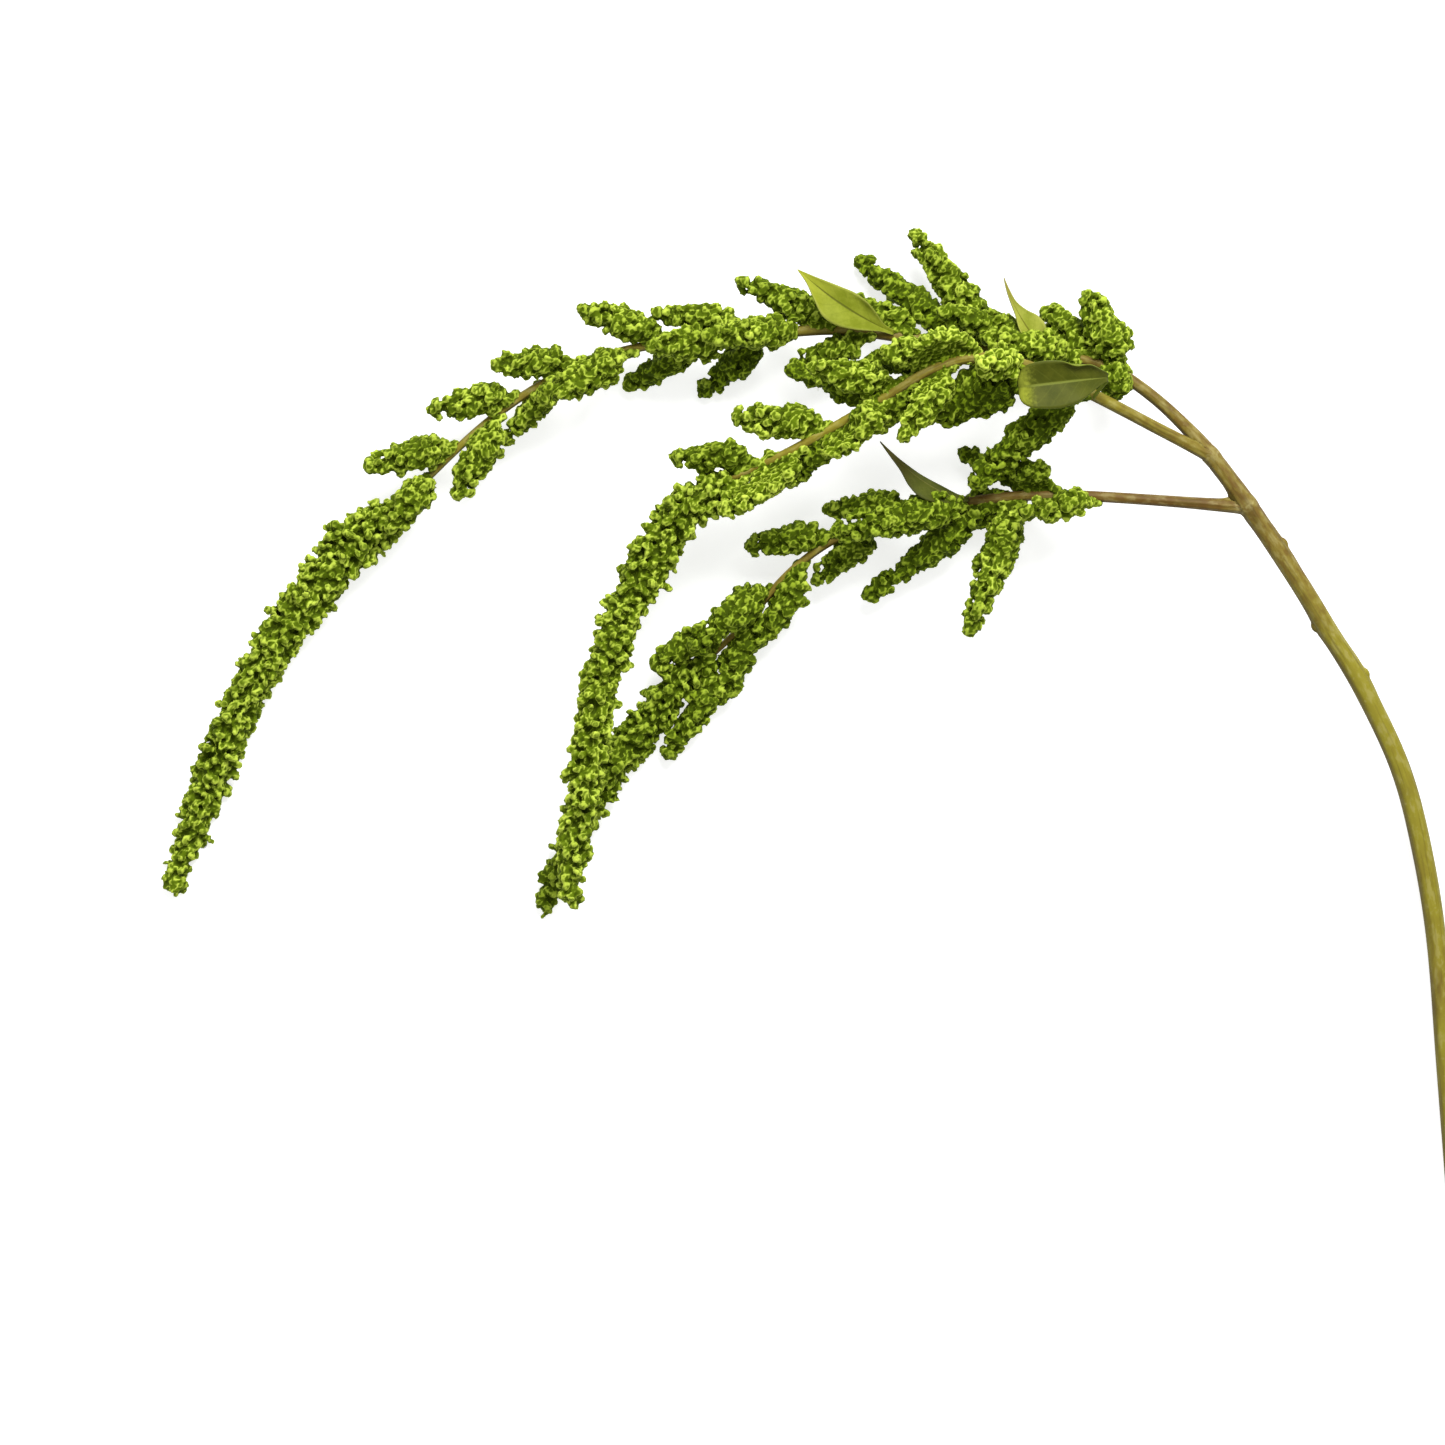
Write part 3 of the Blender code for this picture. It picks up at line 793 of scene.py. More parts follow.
class AMARANTH_OT_stem(bpy.types.Operator):
    """Smooth, ribbed bark in place of the stem's faceted solid"""

    bl_idname = "amaranth.stem"
    bl_label = "Stem"

    quad_angle = math.radians(40)
    quad_skew = math.radians(70)
    levels = 2
    sides = 8
    ribs = 9
    rib_power = 4
    ring_width = 1.7 * MM
    callus_place = 3.8 * MM
    callus_width = 0.9 * MM
    cut_reach = 0.3 * MM
    cut_level = 1.05

    def execute(self, context):
        settings = context.scene.amaranth_bark
        piece = merged_copy("stem", "stem_bark")
        cut_place, forward, _ = point_along(BRANCHES["stalk"], 0.0)
        shape(
            piece, lambda co: True, bpy.ops.mesh.tris_convert_to_quads, face_threshold=self.quad_angle,
            shape_threshold=self.quad_skew,
        )
        shape(
            piece, lambda co: (co - cut_place).dot(forward) < self.cut_reach,
            bpy.ops.transform.edge_crease, value=1.0,
        )
        apply_modifier(piece, "SUBSURF", levels=self.levels, render_levels=self.levels)
        places = coordinates(piece.data)
        owner, local, radius, side, level = bark_coordinates(places)
        around = np.arctan2(local[:, 1], local[:, 0])
        outward = np.cos(around)[:, None] * side + np.sin(around)[:, None] * level
        reach = np.hypot(local[:, 0], local[:, 1])
        share = np.clip(reach / radius, 0.0, 1.0)
        # Smoothing draws an eight-sided tube in, so it is let out again to the solid's corners.
        drawn_in = (2 + math.cos(2 * math.pi / self.sides)) / 3
        ribbed = settings.rib_height * np.sin(self.ribs * around) * share**self.rib_power
        move_vertices(piece.data, places + outward * (reach * (1 / drawn_in - 1) + ribbed)[:, None])
        at_cut = (owner == 0) & (local[:, 2] < self.cut_reach)
        brown, ring = self.ripeness(owner, local[:, 2])
        store(piece.data, "bark", local, "FLOAT_VECTOR")
        store(piece.data, "brown", brown)
        store(piece.data, "ring", np.clip(ring, 0.0, 1.0))
        store(piece.data, "cut", at_cut * (self.cut_level - share))
        # How far a place lies round on the branch's other flank, which the bark darkens as painted shade.
        store(piece.data, "painted_shade_flank", np.clip(-local[:, 0] / radius, 0.0, 1.0))
        piece.data.shade_smooth()
        piece.data.materials.append(bark_material(settings))
        dress(piece, "stem", "stem")
        return {"FINISHED"}

    def ripeness(self, owner, distance):
        """How brown the bark is at each distance along its branch, and how strong a pale ring is there."""
        brown = np.zeros(len(owner))
        ring = np.zeros(len(owner))
        for number, name in enumerate(BRANCHES):
            stops = np.array(BARK_BROWN[name], float)
            mine = owner == number
            brown[mine] = np.interp(distance[mine] / MM, stops[:, 0], stops[:, 1])
            for place, width in self.rings(name):
                ring[mine] += np.exp(-(((distance[mine] - place) / width) ** 2))
        return brown, ring

    def rings(self, name):
        """The pale rings of a branch: at the two forks on the stalk, and at the foot of the lower branch."""
        if name == "stalk":
            return [(fork_distance(shoot), self.ring_width) for shoot in ("middle", "lower")]
        return [(self.callus_place, self.callus_width)] if name == "lower" else []


def unit(piece):
    """The vertices and triangles of a small model that is copied many times, which is then removed."""
    piece.data.calc_loop_triangles()
    faces = np.array([triangle.vertices[:] for triangle in piece.data.loop_triangles])
    arrays = coordinates(piece.data), faces
    bpy.data.objects.remove(piece)
    return arrays


def model_bud():
    """A round bud of unit radius on a narrow foot, drawn up to a blunt point."""
    bud = add_primitive(bpy.ops.mesh.primitive_ico_sphere_add, "bud", subdivisions=1, radius=1.0)
    point = (0.0, 0.0, 0.3)
    foot = (0.75, 0.75, 1.0)
    shape(bud, lambda co: co.z > 0.9, bpy.ops.transform.translate, value=point)
    shape(bud, lambda co: co.z < -0.2, bpy.ops.transform.resize, value=foot)
    return unit(bud)


def model_lobe():
    """A club-shaped lobe of unit height: narrow at its foot, full and round near its end."""
    lobe = add_primitive(
        bpy.ops.mesh.primitive_uv_sphere_add, "lobe", segments=6, ring_count=5, radius=1.0
    )
    foot = (0.6, 0.6, 1.0)
    waist = (1.06, 1.06, 1.0)
    head = (1.3, 1.3, 1.0)
    shape(lobe, lambda co: co.z < -0.2, bpy.ops.transform.resize, value=foot)
    shape(lobe, lambda co: 0.2 < co.z < 0.5, bpy.ops.transform.resize, value=waist)
    shape(lobe, lambda co: 0.7 < co.z < 0.9, bpy.ops.transform.resize, value=head)
    return unit(lobe)


def cluster(model, rows, rng):
    """A cluster of copies of one model.

    A row holds the lean and the turn of a copy's way out in degrees, the reach of its middle, and its
    width, breadth and length.
    """
    places = []
    faces = []
    vertices, triangles = model
    for number, (lean, turn, reach, width, breadth, length) in enumerate(rows):
        spin = Matrix.Rotation(rng.uniform(0, math.pi), 3, "Z")
        lean = Matrix.Rotation(math.radians(lean + rng.uniform(-COPY_LEAN, COPY_LEAN)), 3, "Y")
        turn = Matrix.Rotation(math.radians(turn + rng.uniform(-COPY_TURN, COPY_TURN)), 3, "Z")
        grown = rng.uniform(*COPY_SIZES)
        scaled = (vertices * np.array((width, breadth, length)) * grown) @ np.array(spin).T
        faces.append(triangles + len(vertices) * number)
        places.append((scaled + np.array((0.0, 0.0, reach))) @ np.array(turn @ lean).T)
    return np.concatenate(places), np.concatenate(faces)


def spike_clusters(rng):
    """Knobbly clusters of round and curled buds, with a thin pointed bract in some."""
    bud = model_bud()
    side = [(62, 72 * number, 0.42, 0.5, 0.66, 0.46) for number in range(5)]
    top = [(12, 0, 0.46, 0.74, 0.5, 0.52)]
    pair = [(24, 90, 0.46, 0.68, 0.46, 0.48), (26, 270, 0.44, 0.46, 0.72, 0.46)]
    bract = [(50, 10, 0.8, 0.12, 0.2, 0.6)]
    return [
        cluster(bud, top + side, rng),
        cluster(bud, top + side[:4] + bract, rng),
        cluster(bud, pair + side, rng),
        cluster(bud, pair + side[:4], rng),
        cluster(bud, top + side[1:], rng),
    ]


def tassel_clusters(rng):
    """Small groups of club-shaped lobes: one or two that stand out, and shorter ones round their feet."""
    lobe = model_lobe()
    foot = [(64, 120 * number, 0.3, 0.2, 0.26, 0.34) for number in range(3)]
    tall = [(16, 0, 0.38, 0.26, 0.2, 0.52)]
    leaning = [(38, 30, 0.4, 0.22, 0.28, 0.5)]
    twin = [(34, 60, 0.36, 0.25, 0.19, 0.46), (38, 240, 0.34, 0.2, 0.24, 0.44)]
    bract = [(48, 150, 0.42, 0.13, 0.2, 0.44)]
    return [
        cluster(lobe, tall + foot, rng),
        cluster(lobe, leaning + foot, rng),
        cluster(lobe, twin + foot[:2], rng),
        cluster(lobe, tall + leaning + foot[1:] + bract, rng),
        cluster(lobe, leaning + foot[:2] + bract, rng),
    ]


def ring_middles(bm, stem_tree):
    """The middles of a floret body's rings of vertices, from its root to its tip."""
    poles = sorted(bm.verts, key=lambda vert: len(vert.link_edges))[-2:]
    root = min(poles, key=lambda vert: stem_tree.find_nearest(vert.co)[3])
    reached = {root}
    ring = [root]
    middles = []
    while ring:
        middles.append(sum((vert.co for vert in ring), Vector()) / len(ring))
        others = {edge.other_vert(vert) for vert in ring for edge in vert.link_edges} - reached
        reached |= others
        ring = sorted(others, key=lambda vert: vert.index)
    return middles


def spokes(forward, side, count):
    """Directions that stand evenly round a forward direction, from one of them."""
    return [Matrix.Rotation(2 * math.pi * number / count, 3, forward) @ side for number in range(count)]


class FloretBody:
    """A spike or tassel: its axis, its surface, and the seats of the clusters on it."""

    def __init__(self, node, stem_tree):
        self.is_spike = "spike" in node
        self.core = merged_copy(node, node + "_florets")
        bm = bmesh.new()
        bm.from_mesh(self.core.data)
        bm.normal_update()
        self.tree = BVHTree.FromBMesh(bm)
        self.middles = ring_middles(bm, stem_tree)
        bm.free()
        self.distances = [0.0]
        for start, end in zip(self.middles, self.middles[1:]):
            self.distances.append(self.distances[-1] + (end - start).length)

    def axis(self, distance):
        """The place and the forward direction at a distance along the axis."""
        number = bisect.bisect_left(self.distances, distance) - 1
        number = max(0, min(number, len(self.middles) - 2))
        start, end = self.middles[number], self.middles[number + 1]
        part = (distance - self.distances[number]) / (end - start).length
        before = self.middles[max(0, number - 1)]
        after = self.middles[min(len(self.middles) - 1, number + 2)]
        return start.lerp(end, part), (after - before).normalized()

    def seats(self, spacing, rng):
        """Where clusters sit: the place, the way out, the way forward and the share of the length."""
        length = self.distances[-1]
        widest = self.widest()
        steady = (self.middles[-1] - self.middles[0]).orthogonal()
        distance = FIRST_ROW * spacing
        found = []
        row = 0
        while distance < length - LAST_ROW * spacing:
            centre, forward = self.axis(distance)
            side = forward.cross(steady).normalized()
            level = side.cross(forward)
            share = distance / length
            is_outer = distance > OUTER_PART * length
            least = self.least_width(share, is_outer) * widest
            count = max(3, round(2 * math.pi * self.mean_reach(centre, side, level) / spacing))
            for number in range(count):
                turn = number + 0.5 * (row % 2) + rng.uniform(-SEAT_STRAY, SEAT_STRAY)
                angle = 2 * math.pi * turn / count
                nudge = forward * rng.uniform(-SEAT_STRAY, SEAT_STRAY) * spacing
                reach = max(self.reach(centre + nudge, side, level, angle), least)
                outward = math.cos(angle) * side + math.sin(angle) * level
                place = centre + nudge + outward * reach
                place += outward * LUMP_HEIGHT * noise.noise(place / LUMP_SPAN)
                found.append((place, outward, forward, share))
            if is_outer:
                found.append((centre, forward, side, share))
            distance += ROW_PITCH * spacing
            row += 1
        return found + self.tip_seats(spacing)

    def least_width(self, share, is_outer):
        """The least share of the full width at a share of the length, which keeps a tip blunt."""
        if is_outer and self.is_spike:
            return min(FULLNESS, BLUNTNESS + TAPER * (1 - share))
        return BLUNTNESS

    def tip_seats(self, spacing):
        """Seats on the tip and round it."""
        centre, forward = self.axis(self.distances[-1])
        side = forward.orthogonal()
        found = [(centre, forward, side, 1.0)]
        for spoke in spokes(forward, side, TIP_SEATS):
            outward = (spoke + TIP_AHEAD * forward).normalized()
            place = centre + (outward - TIP_BACK * forward) * TIP_SPREAD * spacing
            found.append((place, outward, forward, TIP_SHARE))
        return found

    def root_ring(self):
        """Seats round a tassel's root, where the florets close round the end of its branch."""
        centre, forward = self.axis(0.0)
        side = forward.orthogonal().normalized()
        return [
            (centre + RING_OUT * outward - RING_BACK * forward, outward, forward, 0.0)
            for outward in spokes(forward, side, RING_SEATS)
        ]

    def root_seats(self, rng):
        """Seats on the bark round a spike's root, where the florets close round the branch."""
        root = self.middles[0]
        line = min(BRANCHES.values(), key=lambda line: min((place - root).length for place, _ in line))
        distance = nearest_distance(line, root)
        found = []
        for row, ahead in enumerate(ROOT_ROWS):
            centre, forward, radius = point_along(line, distance + ahead)
            side = root - centre
            side = (side - side.dot(forward) * forward).normalized()
            level = side.cross(forward)
            for number in range(-ROOT_REACH, ROOT_REACH + 1):
                angle = ROOT_STEP * (number + 0.5 * (row % 2) + rng.uniform(-ROOT_STRAY, ROOT_STRAY))
                outward = math.cos(angle) * side + math.sin(angle) * level
                if outward.z < max(BARE_TOP, side.z):
                    found.append((centre + outward * radius, outward, forward, 0.0))
        return found

    def widest(self):
        """How far the surface lies from the axis where the body is full."""
        centre, forward = self.axis(FULL_PLACE * self.distances[-1])
        side = forward.orthogonal().normalized()
        return self.mean_reach(centre, side, side.cross(forward))

    def mean_reach(self, centre, side, level):
        """How far the surface lies from the axis, as a mean all round it."""
        angles = [math.radians(angle) for angle in range(0, 360, PROBE_STEP)]
        return sum(self.reach(centre, side, level, angle) for angle in angles) / len(angles)

    def reach(self, centre, side, level, angle):
        """How far the surface lies from the axis in one direction."""
        hit = self.tree.ray_cast(centre, math.cos(angle) * side + math.sin(angle) * level)
        return hit[3] if hit[3] is not None else 0.0


def grow_clusters(seats, clusters, growth, rng):
    """The vertices and faces of a cluster on each seat."""
    size, lean, sink = growth
    places = []
    faces = []
    offset = 0
    for place, outward, forward, share in seats:
        vertices, triangles = rng.choice(clusters)
        up = (outward + (lean + TIP_LEAN * share**LEAN_POWER) * forward).normalized()
        ahead = (forward - forward.dot(up) * up).normalized()
        grown = size * rng.uniform(*CLUSTER_SIZES) * (1 - TIP_SHRINK * share**SHRINK_POWER)
        axes = np.array((ahead, up.cross(ahead), up))
        spun = np.array(Matrix.Rotation(rng.uniform(-math.pi, math.pi), 3, "Z"))
        places.append(grown * (vertices @ spun.T) @ axes + np.array(place - sink * grown * up))
        faces.append(triangles + offset)
        offset += len(vertices)
    return np.concatenate(places), np.concatenate(faces)


class Skin:
    """A fused mesh as arrays, to be crinkled and to be measured for its hollows."""

    def __init__(self, mesh):
        self.mesh = mesh
        self.places = coordinates(mesh)
        normals = np.empty(self.places.size, np.float32)
        mesh.vertices.foreach_get("normal", normals)
        self.normals = normals.reshape(-1, 3)
        pairs = np.empty(2 * len(mesh.edges), np.int32)
        mesh.edges.foreach_get("vertices", pairs)
        pairs = pairs.reshape(-1, 2)
        self.near = np.concatenate([pairs[:, 0], pairs[:, 1]])
        self.far = np.concatenate([pairs[:, 1], pairs[:, 0]])
        self.count = np.bincount(self.near, minlength=len(self.places))[:, None]

    def smoothed(self, values, rounds):
        """Values averaged again and again with the mean of their neighbours'."""
        for _ in range(rounds):
            sums = [np.bincount(self.near, column[self.far], len(values)) for column in values.T]
            values = 0.5 * values + 0.5 * np.stack(sums, axis=1) / self.count
        return values

    def pattern(self, span, shift=0.0):
        """Smooth noise from about -1 to 1, whose cells are as wide as the span."""
        offset = Vector((shift, shift, shift))
        return np.array([noise.noise(Vector(place) + offset) for place in (self.places / span).tolist()])

    def crinkle(self, span, height):
        """Raise thin wavy ridges along the noise's zero lines."""
        ridges = np.clip(1 - RIDGE_SHARPNESS * abs(self.pattern(span)), 0.0, 1.0)
        self.places = self.places + self.normals * (height * (ridges - RIDGE_SINK))[:, None]
        return ridges

    def relief(self, rounds):
        """How far each vertex stands out of the surface round it, in metres."""
        return ((self.places - self.smoothed(self.places, rounds)) * self.normals).sum(axis=1)

    def keep(self):
        """Move the mesh's vertices to the crinkled places."""
        move_vertices(self.mesh, self.places)


def lowered(places, branch, margin):
    """Places with those over a branch brought down beside it, where the branch shows on top."""
    places = np.array([[*place] for place in places])
    for start, end in BARE_STRETCHES.get(branch, ()):
        line = BRANCHES[branch]
        distances = travelled(line)
        within = (distances >= start * MM) & (distances <= end * MM)
        middles = np.array([[*place] for place, _ in line])[within]
        radii = np.array([radius for _, radius in line])[within]
        gaps = np.linalg.norm(places[:, None, :2] - middles[None, :, :2], axis=2)
        nearest = gaps.argmin(axis=1)
        beside = np.maximum(0.0, gaps.min(axis=1) - radii[nearest] - margin)
        height = middles[nearest, 2]
        top = height - 0.5 * margin + BARE_SLOPE * beside
        over = (places[:, 2] > top) & (places[:, 2] < height + BARE_DEPTH)
        places[over, 2] = top[over]
    return places


def painted_light_of(node):
    """How sunlit a piece is painted: its own painted light, or its spray's."""
    return PIECE_PAINTED_LIGHT.get(node, SPRAY_PAINTED_LIGHT[node.split("_")[0]])


def sink_core(core, depth, branch):
    """Draw a core's surface in, so that clusters stand out of it, and lower it beside a bare branch."""
    bm = bmesh.new()
    bm.from_mesh(core)
    bm.normal_update()
    for vert, normal in [(vert, vert.normal.copy()) for vert in bm.verts]:
        vert.co -= depth * normal
    if branch in BARE_STRETCHES:
        bmesh.ops.subdivide_edges(bm, edges=bm.edges[:], cuts=CORE_CUTS, use_grid_fill=True)
        for vert, place in zip(bm.verts, lowered([vert.co for vert in bm.verts], branch, CORE_MARGIN)):
            vert.co = place
    bmesh.ops.triangulate(bm, faces=bm.faces)
    bm.to_mesh(core)
    bm.free()


def join_to_core(piece, places, faces):
    """Make a core and the clusters on it one mesh."""
    core = piece.data
    core_places = coordinates(core)
    core_faces = np.array([face.vertices[:] for face in core.polygons])
    places = np.concatenate([core_places, places])
    faces = np.concatenate([core_faces, faces + len(core_places)])
    piece.data = bpy.data.meshes.new(piece.name)
    piece.data.from_pydata(places.tolist(), [], faces.tolist())
    bpy.data.meshes.remove(core)


def make_florets(node, settings, clusters, growth, stem_tree):
    """One spike or tassel: a core and the clusters on its seats, fused and crinkled."""
    rng = random.Random(f"{settings.seed} {node}")
    body = FloretBody(node, stem_tree)
    piece = body.core
    if body.is_spike:
        branch = node.split("_")[0]
        core_depth = settings.spike_core
        crinkle = settings.spike_crinkle
        seats = body.seats(settings.spike_spacing, rng) + body.root_seats(rng)
    else:
        branch = ""
        core_depth = settings.tassel_core
        crinkle = settings.tassel_crinkle
        seats = body.seats(settings.tassel_spacing, rng) + body.root_ring()
    spots = lowered([seat[0] for seat in seats], branch, SEAT_MARGIN)
    seats = [(Vector(spot), *seat[1:]) for spot, seat in zip(spots, seats)]
    places, faces = grow_clusters(seats, clusters, growth, rng)
    sink_core(piece.data, core_depth, branch)
    join_to_core(piece, places, faces)
    apply_modifier(piece, "REMESH", mode="VOXEL", voxel_size=settings.skin_detail)
    skin = Skin(piece.data)
    ridges = skin.crinkle(settings.crinkle_span, crinkle)
    relief = skin.relief(RELIEF_ROUNDS) / settings.spike_crinkle
    tint = skin.pattern(TINT_SPAN, TINT_SHIFT)
    skin.keep()
    # Relief and ridges that paint shade into the hollows and highlights onto the tops and crinkles.
    store(piece.data, "height", np.clip(0.5 + RELIEF_GAIN * relief, 0.0, 1.0))
    store(piece.data, "ridge", ridges)
    store(piece.data, "tint", tint)
    # Each piece's painted sunlight or painted shade, the same all over it.
    store(piece.data, "painted_light", np.full(len(tint), painted_light_of(node)))
    piece.data.shade_smooth()
    piece.data.materials.append(bpy.data.materials.get(BUD_MATERIAL) or floret_material(settings))
    dress(piece, "florets", node)


def stem_surface():
    """The stem's solid as a tree that finds its nearest point."""
    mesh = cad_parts["stem"].data
    mesh.calc_loop_triangles()
    triangles = [triangle.vertices[:] for triangle in mesh.loop_triangles]
    return BVHTree.FromPolygons([vert.co[:] for vert in mesh.vertices], triangles)


class AMARANTH_OT_spikes(bpy.types.Operator):
    """Clusters of round buds on every short seed spike"""

    bl_idname = "amaranth.spikes"
    bl_label = "Seed spikes"

    lean = 0.4
    sink = 0.2

    def execute(self, context):
        settings = context.scene.amaranth_florets
        clusters = spike_clusters(random.Random(settings.seed))
        growth = settings.bud_radius, self.lean, self.sink
        tree = stem_surface()
        for node in sorted(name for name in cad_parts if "spike" in name):
            make_florets(node, settings, clusters, growth, tree)
        return {"FINISHED"}


class AMARANTH_OT_tassels(bpy.types.Operator):
    """Groups of club-shaped lobes on the long drooping tassels"""

    bl_idname = "amaranth.tassels"
    bl_label = "Tassels"

    lean = 1.05
    sink = 0.42

    def execute(self, context):
        settings = context.scene.amaranth_florets
        clusters = tassel_clusters(random.Random(settings.seed))
        growth = settings.lobe_length, self.lean, self.sink
        tree = stem_surface()
        for node in ("upper_tassel", "middle_tassel", "lower_tassel"):
            make_florets(node, settings, clusters, growth, tree)
        return {"FINISHED"}


def through(stops, share):
    """The value at a share of the way along evenly spaced stops, on a smooth curve through them."""
    place = share * (len(stops) - 1)
    number = min(int(place), len(stops) - 2)
    start, end = stops[number], stops[number + 1]
    before = stops[number - 1] if number else 2 * start - end
    after = stops[number + 2] if number + 2 < len(stops) else 2 * end - start
    return curve(before, start, end, after, place - number)


class AMARANTH_OT_leaves(bpy.types.Operator):
    """A thin veined blade for each leaf"""

    bl_idname = "amaranth.leaves"
    bl_label = "Leaves"

    seat_gap = 0.35 * MM
    fold = 0.3
    wave_height = 0.08
    wave_turn = 14
    wave_slant = 2
    curled_share = 0.45
    least_curl = 0.01
    hook_start = 0.82

    def execute(self, context):
        settings = context.scene.amaranth_leaves
        for name, row in LEAVES.items():
            self.blade(name, row, settings)
        return {"FINISHED"}

    def blade(self, name, row, settings):
        """Bend a grid along the leaf's midrib, shape it across, and give it its thickness."""
        *seat, length, droop, sweep = row
        root, heading, across = self.seat(*seat)
        normal = heading.cross(across)
        step = length * MM / settings.rows
        midrib = [root]
        headings = []
        for number in range(settings.rows):
            t = (number + 0.5) / settings.rows
            hook = max(0.0, t - self.hook_start) / (1 - self.hook_start)
            turned = math.radians(droop * t + LEAF_HOOKS[name] * hook)
            ahead = math.cos(turned) * heading - math.sin(turned) * normal - 2 * sweep * t * across
            headings.append(ahead.normalized())
            midrib.append(midrib[-1] + step * ahead)
        piece = add_primitive(
            bpy.ops.mesh.primitive_grid_add, name + "_blade", size=2.0,
            x_subdivisions=settings.rows, y_subdivisions=settings.columns,
        )
        for vert in piece.data.vertices:
            t = 0.5 * (vert.co.x + 1)
            number = min(settings.rows, round(t * settings.rows))
            ahead = headings[min(number, settings.rows - 1)]
            out = (across - across.dot(ahead) * ahead).normalized()
            edge, lift = self.section(LEAF_HALVES[name], t, vert.co.y)
            vert.co = midrib[number] + edge * out + lift * ahead.cross(out) + self.stand_off(name, t)
        self.thicken(piece, settings.thickness)
        piece.data.shade_smooth()
        piece.data.materials.append(leaf_material(name, LEAF_LOOKS[name]))
        dress(piece, "leaf", name)

    def seat(self, branch, distance, swing, rise, roll):
        """A leaf's root on its branch, the way it heads there, and the way across its blade."""
        place, forward, radius = point_along(BRANCHES[branch], distance * MM)
        outer = forward.cross(UP).normalized()
        level = outer.cross(forward)
        swing = math.radians(swing)
        rise = math.radians(rise)
        heading = math.cos(swing) * forward + math.sin(swing) * outer
        heading = math.cos(rise) * heading + math.sin(rise) * level
        sideways = (heading - heading.dot(forward) * forward).normalized()
        across = UP.cross(heading).normalized()
        across.rotate(Matrix.Rotation(math.radians(roll), 3, heading))
        return place + sideways * (radius + self.seat_gap), heading, across

    def stand_off(self, name, t):
        """How far a leaf's own thin stalk has carried its blade from the branch."""
        offset, stretch = LEAF_STALKS.get(name, ((0.0, 0.0, 0.0), 1.0))
        share = min(1.0, t / stretch)
        return share**2 * (3 - 2 * share) * MM * Vector(offset)

    def section(self, halves, t, side):
        """How far out across the blade and how far up from its midrib a point lies."""
        widths, curls = halves[0] if side > 0 else halves[1]
        width = MM * through(widths, t)
        curl = math.radians(through(curls, t))
        share = abs(side)
        flat = min(share, 1 - self.curled_share) * width
        rolled = max(0.0, share - 1 + self.curled_share) / self.curled_share
        arc = self.curled_share * width
        if abs(curl) > self.least_curl:
            out = arc * math.sin(curl * rolled) / curl
            up = arc * (1 - math.cos(curl * rolled)) / curl
        else:
            out = arc * rolled
            up = 0.0
        wave = self.wave_height * math.sin(self.wave_turn * t + self.wave_slant * side)
        edge = math.copysign(flat + out, side)
        return edge, up + (flat + out) * (self.fold + wave)

    def thicken(self, piece, thickness):
        """Give the blade its thickness, and mark the side that faces down."""
        count = len(piece.data.vertices)
        apply_modifier(piece, "SOLIDIFY", thickness=thickness, offset=0.0)
        heights = coordinates(piece.data)[:, 2]
        first_is_back = heights[:count].mean() < heights[count : 2 * count].mean()
        back = (np.arange(len(heights)) < count) == first_is_back
        store(piece.data, "back", back)


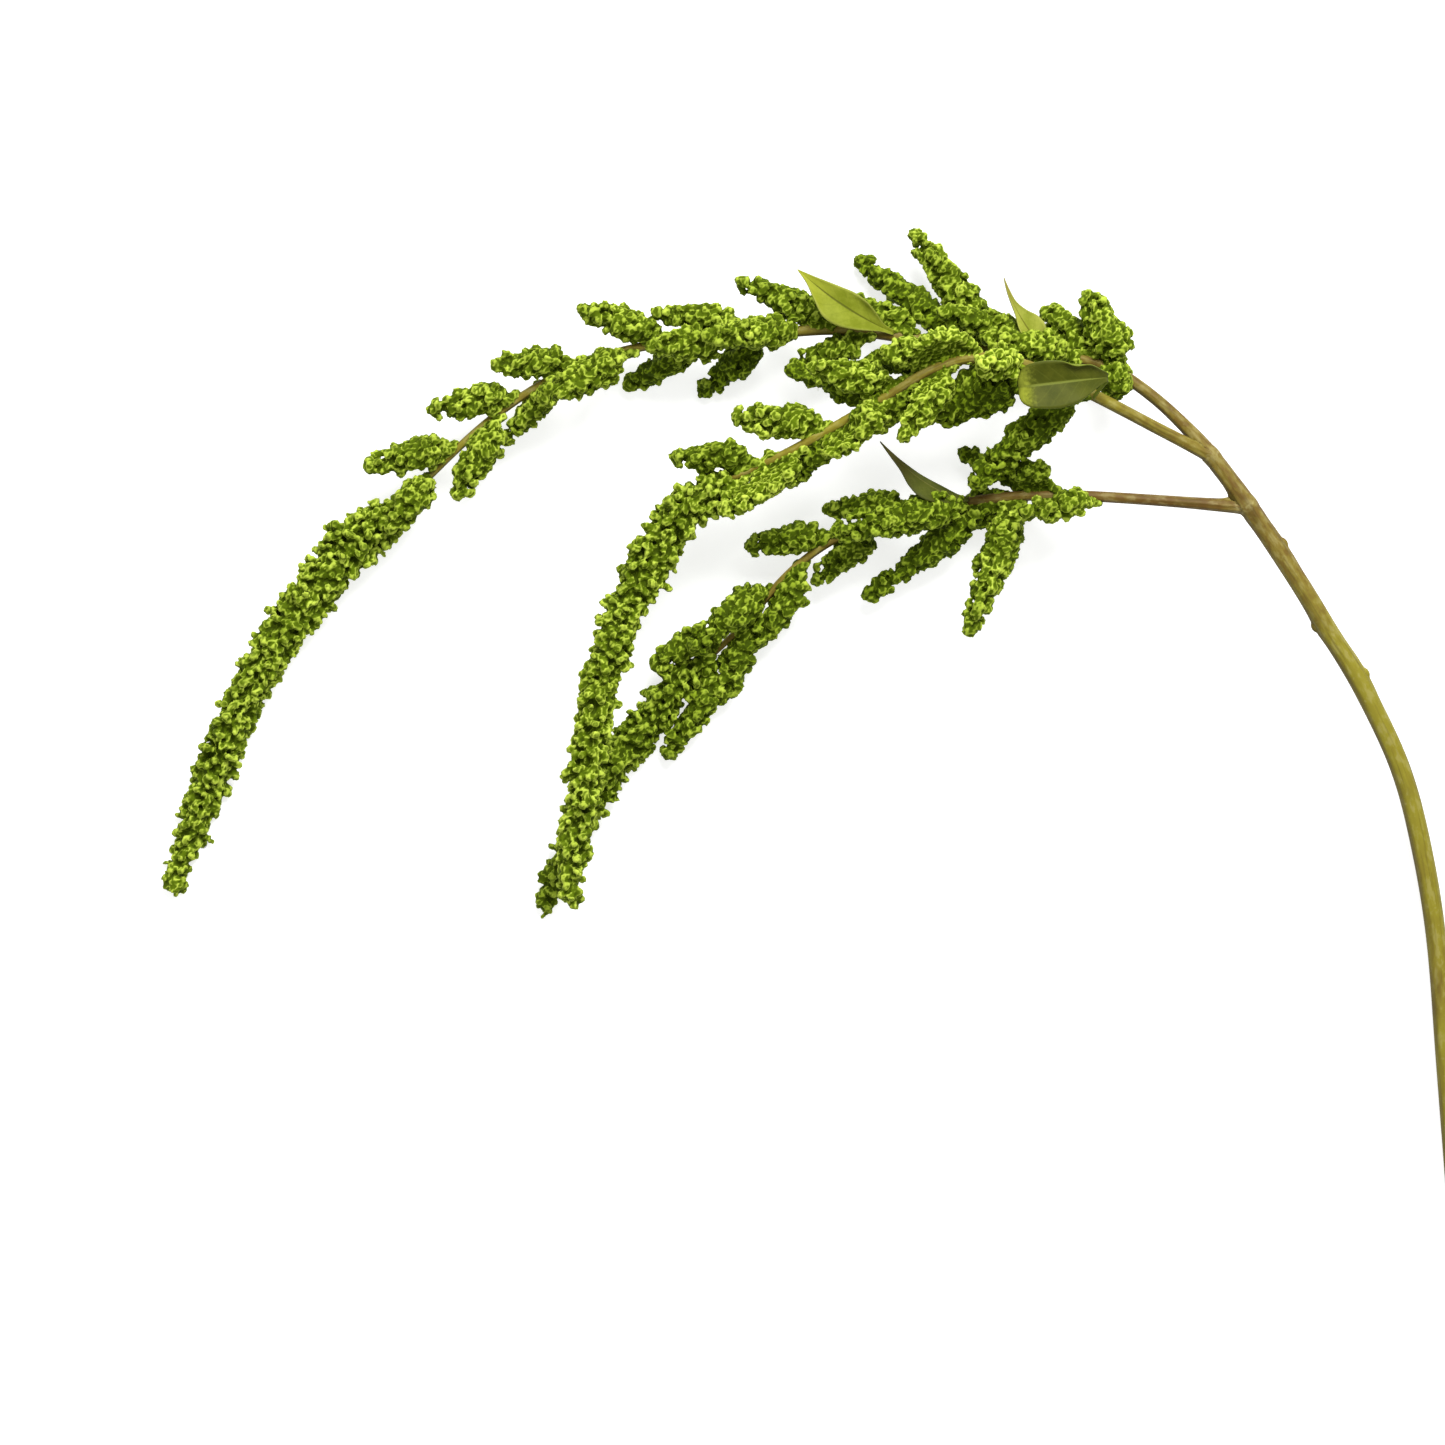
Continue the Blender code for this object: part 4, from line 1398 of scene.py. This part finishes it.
class AMARANTH_OT_stage(bpy.types.Operator):
    """A pale floor, soft lights from above and a camera that looks straight down"""

    bl_idname = "amaranth.stage"
    bl_label = "Stage"

    # The camera stands over the middle of the photo, and the lights hang to its sides.
    camera_spot = (-33.3 * MM, 16.1 * MM)
    stem_height = 20 * MM
    sensor = 36.0
    floor_size = 8.0
    key_place = (0.35, 1.3, 1.6)
    key_size = 1.2
    fill_place = (-0.9, -0.7, 1.7)
    fill_size = 1.8

    def execute(self, context):
        settings = context.scene.amaranth_stage
        floor = add_primitive(bpy.ops.mesh.primitive_plane_add, "floor", size=self.floor_size)
        floor.data.materials.append(self.floor_material(settings))
        self.light("key", self.key_place, self.key_size, settings.key_power)
        self.light("fill", self.fill_place, self.fill_size, settings.fill_power)
        world = bpy.data.worlds.new("studio")
        world.use_nodes = True
        background = world.node_tree.nodes["Background"]
        background.inputs["Color"].default_value = WHITE
        background.inputs["Strength"].default_value = settings.sky
        context.scene.world = world
        context.scene.view_settings.view_transform = "Standard"
        self.camera(context, settings)
        return {"FINISHED"}

    def floor_material(self, settings):
        """A pale floor that shines a little."""
        shader = Shader("floor")
        shader.set(
            Base_Color=(*settings.floor, 1.0), Roughness=0.9, Emission_Color=WHITE,
            Emission_Strength=settings.floor_glow,
        )
        return shader.material

    def light(self, name, place, size, power):
        """A round soft lamp that points at the middle of the stem."""
        lamp = bpy.data.lights.new(name, "AREA")
        lamp.shape = "DISK"
        lamp.size = size
        lamp.energy = power
        holder = bpy.data.objects.new(name, lamp)
        holder.location = place
        holder.rotation_euler = (-Vector(place)).to_track_quat("-Z", "Y").to_euler()
        bpy.context.scene.collection.objects.link(holder)

    def camera(self, context, settings):
        """A camera that looks straight down, with a lens that shows the view's width."""
        camera = bpy.data.cameras.new("camera")
        camera.sensor_width = self.sensor
        camera.lens = self.sensor * (settings.camera_height - self.stem_height) / settings.view_width
        holder = bpy.data.objects.new("camera", camera)
        holder.location = (*self.camera_spot, settings.camera_height)
        context.scene.collection.objects.link(holder)
        context.scene.camera = holder


class AMARANTH_PT_panel(bpy.types.Panel):
    """The operators and their settings in the 3D view's sidebar."""

    bl_label = "Amaranth seed head"
    bl_idname = "AMARANTH_PT_panel"
    bl_space_type = "VIEW_3D"
    bl_region_type = "UI"
    bl_category = "Amaranth"

    def draw(self, context):
        for operator in OPERATORS:
            self.layout.operator(operator.bl_idname)
        for group in SETTINGS:
            settings = getattr(context.scene, group)
            box = self.layout.box()
            for name in settings.bl_rna.properties.keys():
                if name not in ("rna_type", "name"):
                    box.prop(settings, name)


OPERATORS = (
    AMARANTH_OT_stem,
    AMARANTH_OT_spikes,
    AMARANTH_OT_tassels,
    AMARANTH_OT_leaves,
    AMARANTH_OT_stage,
)
SETTINGS = {
    "amaranth_florets": FloretSettings,
    "amaranth_bark": BarkSettings,
    "amaranth_leaves": LeafSettings,
    "amaranth_stage": StageSettings,
}


def register():
    for group in SETTINGS.values():
        bpy.utils.register_class(group)
    for name, group in SETTINGS.items():
        setattr(bpy.types.Scene, name, PointerProperty(type=group))
    for item in (*OPERATORS, AMARANTH_PT_panel):
        bpy.utils.register_class(item)


def unregister():
    for item in (AMARANTH_PT_panel, *reversed(OPERATORS)):
        bpy.utils.unregister_class(item)
    for name, group in SETTINGS.items():
        delattr(bpy.types.Scene, name)
        bpy.utils.unregister_class(group)


def main():
    register()
    bpy.ops.amaranth.stem()
    bpy.ops.amaranth.spikes()
    bpy.ops.amaranth.tassels()
    bpy.ops.amaranth.leaves()
    bpy.ops.amaranth.stage()


if __name__ == "__main__":
    main()
